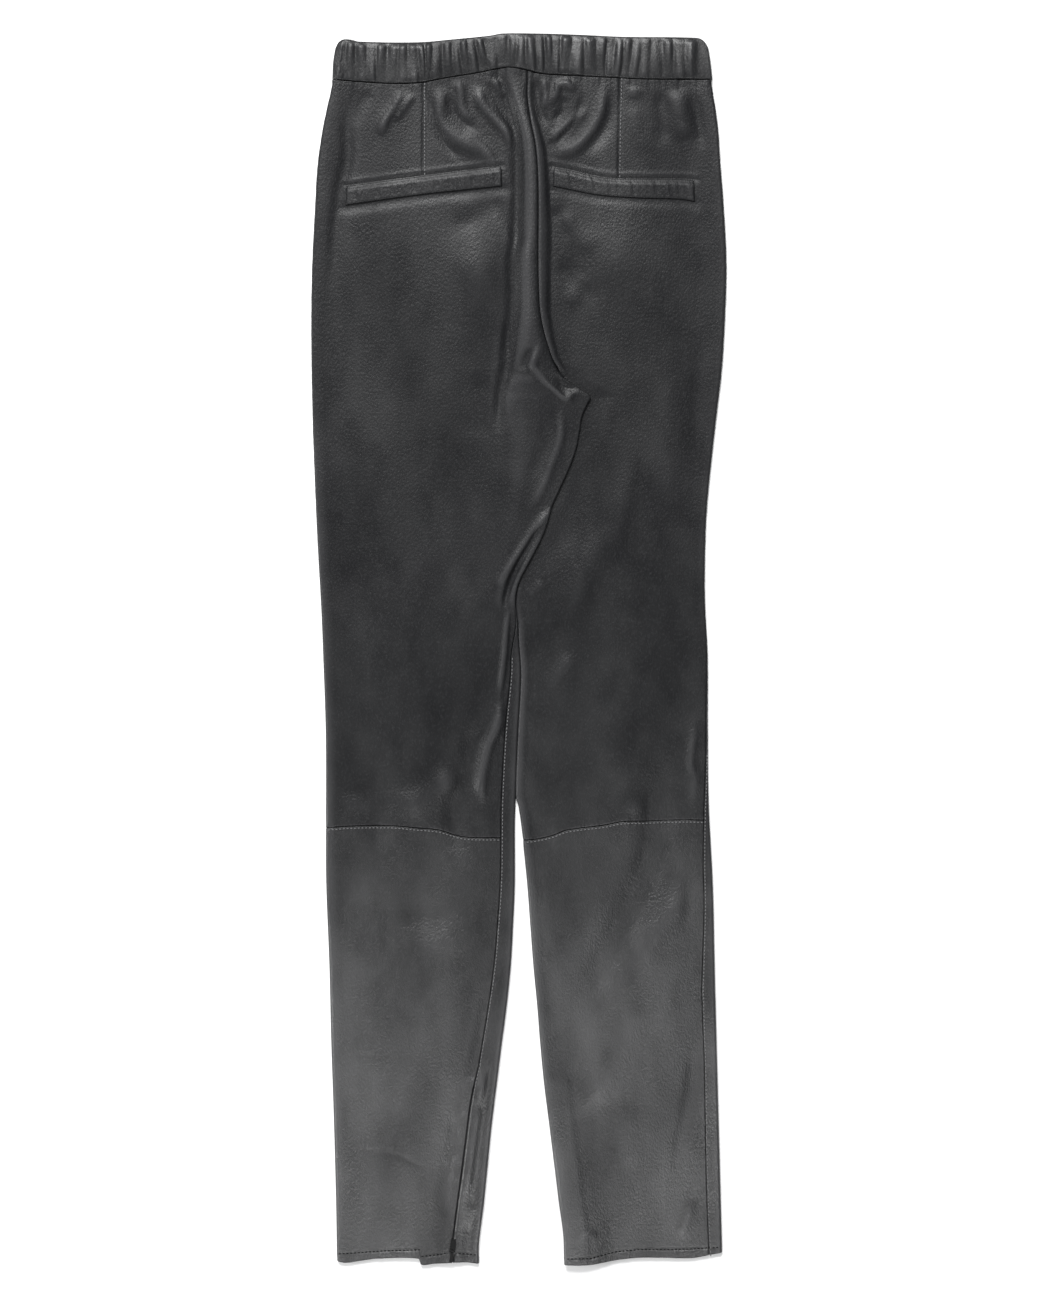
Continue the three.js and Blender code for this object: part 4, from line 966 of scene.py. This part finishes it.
def add_welt(side):
    """A pocket welt: a folded strip that stands a little proud, gathered across its width."""
    start, end, upper, lower = WELTS[side]
    across = np.linspace(0, 1, WELT_ROWS)[:, None]
    x = np.repeat(np.linspace(start, end, WELT_COLUMNS)[None, :], WELT_ROWS, axis=0)
    y = mix(upper(x), lower(x), across)
    from_edge = np.minimum((1 - across) * WELT_WIDTH, np.minimum(x - start, end - x))
    inside = np.clip(1 - from_edge / WELT_ROUND, 0, 1)
    rounding = WELT_EDGE_DROP * (1 - np.sqrt(1 - inside ** 2))
    slit = SLIT_DEPTH * (1 - smoothstep(0, SLIT_SHARE, across))
    gathers = WELT_GATHERS * puckers(x * 0.8 + 0.15 * y) * np.sin(np.pi * across)
    bed = upper_height(HALVES[side], x, mix(upper(x), lower(x), 0.5))
    top = bed + WELT_STAND + WELT_THICKNESS - rounding - slit + gathers
    outer = np.stack([x, y, top], axis=-1)
    inner = np.stack([x, y, bed - WELT_SINK], axis=-1)
    piece = wall(f"pocket_welt_{side}_leather", outer, inner)
    # Crest mask for the painted highlight on the welt's crests
    store(piece, "painted_crest_highlight", painted_crest_highlight(outer))
    cloth[f"pocket_welt_{side}"] = piece


def add_tape(side):
    """A zip's tape under its seam, with low ribs along it."""
    half = HALVES[side]
    across = np.linspace(-0.5, 0.5, TAPE_COLUMNS)
    y = np.repeat(np.linspace(ZIP_TOP_Y, ZIP_END_Y, TAPE_ROWS)[:, None], TAPE_COLUMNS, axis=1)
    x = half.zip_place(y) + across * ZIP_TAPE_WIDTH
    low = half.under(x, y) + WALL + SEAM_GAP
    ribs = TAPE_RIB * np.cos(across * 8 * np.pi)
    outer = np.stack([x, y, low + ZIP_TAPE_THICKNESS + ribs], axis=-1)
    inner = np.stack([x, y, low], axis=-1)
    cloth[f"zip_tape_{side}"] = wall(f"zip_tape_{side}_cloth", outer, inner)


for side in HALVES:
    add_welt(side)
for side in HALVES:
    add_tape(side)


# Shading: how many marks of each kind lie in a metre, and how high they stand, in metres
GRAIN_SCALE = 900
SPECKLE_SCALE = 720
MOTTLE_SCALE = 46
SLACK_SCALE = 38
CLOUD_SCALE = 19
GRAIN_HEIGHT = 0.0006
SPECKLE_HEIGHT = 0.001
SLACK_HEIGHT = 0.004
SLACK_STRENGTH = 0.1
PEBBLE_EDGE = 0.22


def set_inputs(node, values):
    for label, value in values.items():
        node.inputs[label].default_value = value
    return node


def wire(links, rows):
    """Joins nodes from rows of (node, output, next node, input)."""
    for giver, output, taker, socket in rows:
        links.new(giver.outputs[output], taker.inputs[socket])


def new_group(name, inputs, outputs):
    group = bpy.data.node_groups.new(name, "ShaderNodeTree")
    for label, kind, value in inputs:
        group.interface.new_socket(label, in_out="INPUT", socket_type=kind).default_value = value
    for label, kind in outputs:
        group.interface.new_socket(label, in_out="OUTPUT", socket_type=kind)
    return group, group.nodes.new("NodeGroupInput"), group.nodes.new("NodeGroupOutput")


def leather_group():
    """Fine grain, soft mottling and how far down the leg a place lies, as a normal and masks."""
    group, given, result = new_group(
        "leather_surface",
        [("Grain Depth", "NodeSocketFloat", 0.3), ("Speckle Depth", "NodeSocketFloat", 0.3),
         ("Rise Start", "NodeSocketFloat", -0.1), ("Rise End", "NodeSocketFloat", -0.42)],
        [("Normal", "NodeSocketVector"), ("Mottle", "NodeSocketFloat"), ("Lower", "NodeSocketFloat"),
         ("Speckle", "NodeSocketFloat"), ("Cloud", "NodeSocketFloat")])
    nodes = group.nodes
    where = nodes.new("ShaderNodeTexCoord")

    def noise(scale, detail, stretch):
        mapping = set_inputs(nodes.new("ShaderNodeMapping"), {"Scale": stretch})
        node = set_inputs(nodes.new("ShaderNodeTexNoise"), {"Scale": scale, "Detail": detail})
        wire(group.links, [(where, "Object", mapping, "Vector"), (mapping, "Vector", node, "Vector")])
        return node

    def bump(distance, strength=1):
        return set_inputs(nodes.new("ShaderNodeBump"), {"Distance": distance, "Strength": strength})

    cells = nodes.new("ShaderNodeTexVoronoi")
    cells.feature = "DISTANCE_TO_EDGE"
    set_inputs(cells, {"Scale": GRAIN_SCALE})
    pebble = nodes.new("ShaderNodeMath")
    pebble.operation = "MINIMUM"
    pebble.inputs[1].default_value = PEBBLE_EDGE
    grain_bump = bump(GRAIN_HEIGHT)
    speckle = noise(SPECKLE_SCALE, 2, (1, 0.6, 1))
    speckle_bump = bump(SPECKLE_HEIGHT)
    slack_bump = bump(SLACK_HEIGHT, SLACK_STRENGTH)
    split = nodes.new("ShaderNodeSeparateXYZ")
    lower = nodes.new("ShaderNodeMapRange")
    lower.interpolation_type = "SMOOTHSTEP"
    wire(group.links, [
        (where, "Object", cells, "Vector"),
        (cells, "Distance", pebble, 0),
        (given, "Grain Depth", grain_bump, "Strength"),
        (pebble, "Value", grain_bump, "Height"),
        (given, "Speckle Depth", speckle_bump, "Strength"),
        (speckle, "Fac", speckle_bump, "Height"),
        (speckle, "Fac", result, "Speckle"),
        (grain_bump, "Normal", speckle_bump, "Normal"),
        (noise(SLACK_SCALE, 3, (1, 0.5, 1)), "Fac", slack_bump, "Height"),
        (speckle_bump, "Normal", slack_bump, "Normal"),
        (slack_bump, "Normal", result, "Normal"),
        (noise(MOTTLE_SCALE, 4, (1, 0.7, 1)), "Fac", result, "Mottle"),
        (noise(CLOUD_SCALE, 5, (1, 0.45, 1)), "Fac", result, "Cloud"),
        (where, "Object", split, "Vector"),
        (given, "Rise Start", lower, "From Min"),
        (given, "Rise End", lower, "From Max"),
        (split, "Y", lower, "Value"),
        (lower, "Result", result, "Lower"),
    ])
    return group


LEATHER = leather_group()
# Base colour of the painted highlight on crests
PAINTED_HIGHLIGHT_TONE = (0.045, 0.045, 0.047)
SPECKLE_TONE = 1.9
MOTTLE_TONE = 0.5
LOW_SHINE = 0.9


# The paler base colour down the leg is a painted sheen, and the lighter crests are a painted highlight
def leather(name, dark, light, low, roughness, shine, grain, speckle, rise):
    """A near-black leather that grows paler and glossier down the leg, and lighter on its crests."""
    material = bpy.data.materials.new(name)
    material.use_nodes = True
    nodes = material.node_tree.nodes
    link = material.node_tree.links.new
    shader = nodes["Principled BSDF"]
    surface = nodes.new("ShaderNodeGroup")
    surface.node_tree = LEATHER
    set_inputs(surface, {"Grain Depth": grain, "Speckle Depth": speckle,
                         "Rise Start": rise[0], "Rise End": rise[1]})

    def mixed(factor, first, second):
        node = nodes.new("ShaderNodeMix")
        node.data_type = "RGBA"
        link(factor, node.inputs["Factor"])
        for label, value in (("A", first), ("B", second)):
            if isinstance(value, tuple):
                node.inputs[label].default_value = (*value, 1)
            else:
                link(value, node.inputs[label])
        return node.outputs["Result"]

    def ranged(value, low_in, high_in, low_out, high_out):
        node = set_inputs(nodes.new("ShaderNodeMapRange"), {
            "From Min": low_in, "From Max": high_in, "To Min": low_out, "To Max": high_out})
        link(value, node.inputs["Value"])
        return node.outputs["Result"]

    # The crest mask, read for the painted highlight
    crest = nodes.new("ShaderNodeAttribute")
    crest.attribute_name = "painted_crest_highlight"
    tone = mixed(surface.outputs["Mottle"], dark, light)
    # Down the leg the base colour mixes toward the paler low tone: a painted sheen for the brighter
    # reflection towards the hems
    dull = tuple(MOTTLE_TONE * value for value in low)
    mottled_low = mixed(ranged(surface.outputs["Mottle"], 0.32, 0.68, 0, 1), dull, low)
    tone = mixed(surface.outputs["Lower"], tone, mottled_low)
    pale = tuple(SPECKLE_TONE * value for value in low)
    tone = mixed(ranged(surface.outputs["Speckle"], 0.5, 0.75, 0, 0.45), tone, pale)
    # Painted highlight: crests that stand proud get a lighter base colour
    tone = mixed(ranged(crest.outputs["Fac"], 0.1, 1.0, 0, 0.5), tone, PAINTED_HIGHLIGHT_TONE)
    link(tone, shader.inputs["Base Color"])
    link(ranged(surface.outputs["Mottle"], 0.3, 0.7, roughness - 0.05, roughness + 0.06),
         shader.inputs["Roughness"])
    clouded = nodes.new("ShaderNodeMath")
    clouded.operation = "MULTIPLY"
    link(ranged(surface.outputs["Lower"], 0, 1, shine, LOW_SHINE), clouded.inputs[0])
    link(ranged(surface.outputs["Cloud"], 0.35, 0.65, 0.66, 1.3), clouded.inputs[1])
    link(clouded.outputs["Value"], shader.inputs["Specular IOR Level"])
    link(surface.outputs["Normal"], shader.inputs["Normal"])
    return material


def plain(name, color, roughness, shine=0.5):
    material = bpy.data.materials.new(name)
    material.use_nodes = True
    set_inputs(material.node_tree.nodes["Principled BSDF"], {
        "Base Color": (*color, 1), "Roughness": roughness, "Specular IOR Level": shine})
    return material


thigh_leather = leather(
    "thigh_leather", dark=(0.006, 0.0062, 0.007), light=(0.011, 0.0112, 0.012), low=(0.014, 0.0141, 0.015),
    roughness=0.4, shine=0.24, grain=0.2, speckle=0.34, rise=(-0.02, -0.42))
calf_leather = leather(
    "calf_leather", dark=(0.008, 0.0082, 0.009), light=(0.014, 0.0142, 0.015), low=(0.015, 0.0151, 0.016),
    roughness=0.4, shine=0.26, grain=0.35, speckle=0.45, rise=(0, -0.42))
band_leather = leather(
    "band_leather", dark=(0.008, 0.0082, 0.009), light=(0.014, 0.0142, 0.015), low=(0.02, 0.02, 0.02),
    roughness=0.36, shine=0.34, grain=0.2, speckle=0.22, rise=(-0.1, -0.42))
# The grey base colour of this black satin thread is a painted sheen
thread = plain("black_thread_painted_sheen", (0.13, 0.13, 0.133), roughness=0.5)
dark_thread = plain("dark_thread", (0.002, 0.002, 0.0022), roughness=0.7, shine=0.1)
tape_cloth = plain("zip_tape_weave", (0.008, 0.008, 0.009), roughness=0.85)
zip_metal = plain("black_zip_metal", (0.002, 0.002, 0.0022), roughness=0.5, shine=0.2)

for name, piece in cloth.items():
    if name == "waistband":
        look = band_leather
    elif name.startswith("zip_tape"):
        look = tape_cloth
    elif name.endswith("lower"):
        look = calf_leather
    else:
        look = thigh_leather
    piece.data.materials.append(look)


# Stitching

def stitch_group():
    """Short threads laid end to end along a line."""
    group = bpy.data.node_groups.new("thread_stitches", "GeometryNodeTree")
    group.is_modifier = True
    sockets = {}
    rows = [("Line", "NodeSocketGeometry"), ("Pitch", "NodeSocketFloat"),
            ("Stitch Length", "NodeSocketFloat"), ("Thread Width", "NodeSocketFloat"),
            ("Thread", "NodeSocketMaterial")]
    for label, kind in rows:
        sockets[label] = group.interface.new_socket(label, in_out="INPUT", socket_type=kind).identifier
    group.interface.new_socket("Stitches", in_out="OUTPUT", socket_type="NodeSocketGeometry")
    nodes = group.nodes
    given = nodes.new("NodeGroupInput")
    result = nodes.new("NodeGroupOutput")
    curve = nodes.new("GeometryNodeMeshToCurve")
    spaced = nodes.new("GeometryNodeResampleCurve")
    spaced.mode = "LENGTH"
    ball = set_inputs(nodes.new("GeometryNodeMeshUVSphere"), {"Segments": 8, "Rings": 5, "Radius": 0.5})
    size = nodes.new("ShaderNodeCombineXYZ")
    drawn = nodes.new("GeometryNodeTransform")
    tangent = nodes.new("GeometryNodeInputTangent")
    turned = nodes.new("FunctionNodeAlignRotationToVector")
    turned.axis = "X"
    copies = nodes.new("GeometryNodeInstanceOnPoints")
    smooth = nodes.new("GeometryNodeSetShadeSmooth")
    solid = nodes.new("GeometryNodeRealizeInstances")
    painted = nodes.new("GeometryNodeSetMaterial")
    wire(group.links, [
        (given, "Line", curve, "Mesh"),
        (curve, "Curve", spaced, "Curve"),
        (given, "Pitch", spaced, "Length"),
        (given, "Stitch Length", size, "X"),
        (given, "Thread Width", size, "Y"),
        (given, "Thread Width", size, "Z"),
        (ball, "Mesh", smooth, "Geometry"),
        (smooth, "Geometry", drawn, "Geometry"),
        (size, "Vector", drawn, "Scale"),
        (tangent, "Tangent", turned, "Vector"),
        (spaced, "Curve", copies, "Points"),
        (drawn, "Geometry", copies, "Instance"),
        (turned, "Rotation", copies, "Rotation"),
        (copies, "Instances", solid, "Geometry"),
        (solid, "Geometry", painted, "Geometry"),
        (given, "Thread", painted, "Material"),
        (painted, "Geometry", result, "Stitches"),
    ])
    return group, sockets


STITCHES, STITCH_SOCKETS = stitch_group()


def surface_finder():
    """Finds the top of the cloth at a place."""
    points = []
    faces = []
    for name, piece in cloth.items():
        if name.startswith("zip_tape"):
            continue
        base = len(points)
        points.extend(v.co.copy() for v in piece.data.vertices)
        faces.extend(tuple(base + i for i in polygon.vertices) for polygon in piece.data.polygons)
    tree = BVHTree.FromPolygons(points, faces)
    down = Vector((0, 0, -1))
    above = 50

    def height(x, y):
        hit = tree.ray_cast(Vector((x, y, above)) * MM, down)[0]
        return hit.z / MM if hit else UPPER_LAYER_TOP

    return height


cloth_height = surface_finder()


def sewn(name, path, yarn):
    """A row of stitches that lies on the cloth along a path of (x, y)."""
    path = np.array(path, float)
    steps = np.concatenate([[0], np.cumsum(np.linalg.norm(np.diff(path, axis=0), axis=1))])
    count = max(2, int(steps[-1] / GUIDE_STEP))
    at = np.linspace(0, steps[-1], count)
    x = np.interp(at, steps, path[:, 0])
    y = np.interp(at, steps, path[:, 1])
    z = np.array([cloth_height(*place) for place in zip(x, y)])
    padded = np.pad(z, LEVELLED_OVER // 2, mode="edge")
    levelled = np.convolve(padded, np.ones(LEVELLED_OVER) / LEVELLED_OVER, mode="valid")
    z = levelled + THREAD_STAND * THREAD_WIDTH
    mesh = bpy.data.meshes.new(name)
    mesh.from_pydata(np.stack([x, y, z], axis=1) * MM, [(i, i + 1) for i in range(count - 1)], [])
    guide = placed(name + "_guide", mesh)
    modifier = guide.modifiers.new("stitches", "NODES")
    modifier.node_group = STITCHES
    sizes = {"Pitch": STITCH_PITCH, "Stitch Length": STITCH_LENGTH, "Thread Width": THREAD_WIDTH}
    for label, size in sizes.items():
        modifier[STITCH_SOCKETS[label]] = size * MM
    modifier[STITCH_SOCKETS["Thread"]] = yarn
    evaluated = guide.evaluated_get(bpy.context.evaluated_depsgraph_get())
    finished = bpy.data.meshes.new_from_object(evaluated)
    bpy.data.objects.remove(guide)
    piece = placed(name, finished)
    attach(piece, "garment")


def seam_path(place, offset, start, end):
    y = np.linspace(start, end, 60)
    return np.stack([place(y) + offset, y], axis=1)


def cross_path(level, rise, offset, start, end):
    x = np.linspace(start, end, 50)
    return np.stack([x, level + rise(x) + offset], axis=1)


def between(path, start, end):
    """The stretch of a path that lies between two places across."""
    place = np.linspace(start, end, 40)
    return np.stack([place, np.interp(place, *np.array(path, float).T)], axis=1)


SEWN = [
    ("left_inseam_stitches", seam_path(zip_left, INSEAM_STITCH_OFFSET, -8, -378)),
    ("right_outseam_stitches",
     seam_path(lambda y: right_outer(y) - right_outseam(y), OUTSEAM_STITCH_OFFSET, -90, -512)),
    ("left_knee_stitches", cross_path(KNEE_Y, knee_seam_rise, KNEE_STITCH_OFFSET, -160, -17)),
    ("right_knee_stitches", cross_path(KNEE_Y, knee_seam_rise, KNEE_STITCH_OFFSET, 8, 155)),
    ("left_dart_stitches", [(-79.2, 478), (-79.2, 402)]),
    ("right_dart_stitches", [(87.4, 482), (86.2, 440), (85.7, 400)]),
    ("left_hem_stitches", between(HEM_LINES["left"], -151, -84)),
    ("left_zip_hem_stitches", between(HEM_LINES["left_zip"], -81, -37)),
    ("right_hem_stitches", between(HEM_LINES["right"], 42, 168)),
]
for name, path in SEWN:
    sewn(name, path, dark_thread if "hem" in name else thread)


for node, piece in cloth.items():
    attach(piece, "garment")
    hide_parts(node)

for node in ("zip_slider_left", "zip_slider_right", "zip_pull_tab_left", "zip_pull_tab_right"):
    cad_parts[node].material_slots[0].material = zip_metal


# Floor, lights and camera, in metres
FLOOR_REACH = 9
FLOOR_Z = -0.0004
FLOOR_TONE = (0.94, 0.94, 0.94)
DAYLIGHT = (0.96, 0.98, 1, 1)
DAYLIGHT_STRENGTH = 0.16
CAMERA_PLACE = (0.0013, -0.0004, 3.056)

corners = [(x * FLOOR_REACH, y * FLOOR_REACH, FLOOR_Z) for x, y in ((-1, -1), (1, -1), (1, 1), (-1, 1))]
floor_mesh = bpy.data.meshes.new("floor")
floor_mesh.from_pydata(corners, [], [(0, 1, 2, 3)])
floor_mesh.materials.append(plain("pale_floor", FLOOR_TONE, 1.0))
floor = placed("floor", floor_mesh)

world = bpy.data.worlds.new("studio")
world.use_nodes = True
set_inputs(world.node_tree.nodes["Background"], {"Color": DAYLIGHT, "Strength": DAYLIGHT_STRENGTH})
bpy.context.scene.world = world


def softbox(name, place, target, size, power):
    lamp = bpy.data.lights.new(name, "AREA")
    lamp.shape = "RECTANGLE"
    lamp.size, lamp.size_y = size
    lamp.energy = power
    light = placed(name, lamp)
    light.location = place
    light.rotation_euler = (Vector(target) - Vector(place)).to_track_quat("-Z", "Y").to_euler()


softbox("key_light", place=(-0.4, 2.0, 2.3), target=(0, 0, 0), size=(1.4, 1.2), power=125)
softbox("fill_light", place=(0.2, -1.7, 2.6), target=(0, -0.3, 0), size=(1.8, 1.0), power=36)
softbox("side_light", place=(-2.6, -0.4, 1.4), target=(0, -0.1, 0), size=(1.4, 1.0), power=45)

bpy.context.scene.view_settings.view_transform = "Standard"

lens = bpy.data.cameras.new("camera")
lens.lens = 100
lens.sensor_width = 36
camera = placed("camera", lens)
camera.location = CAMERA_PLACE
bpy.context.scene.camera = camera
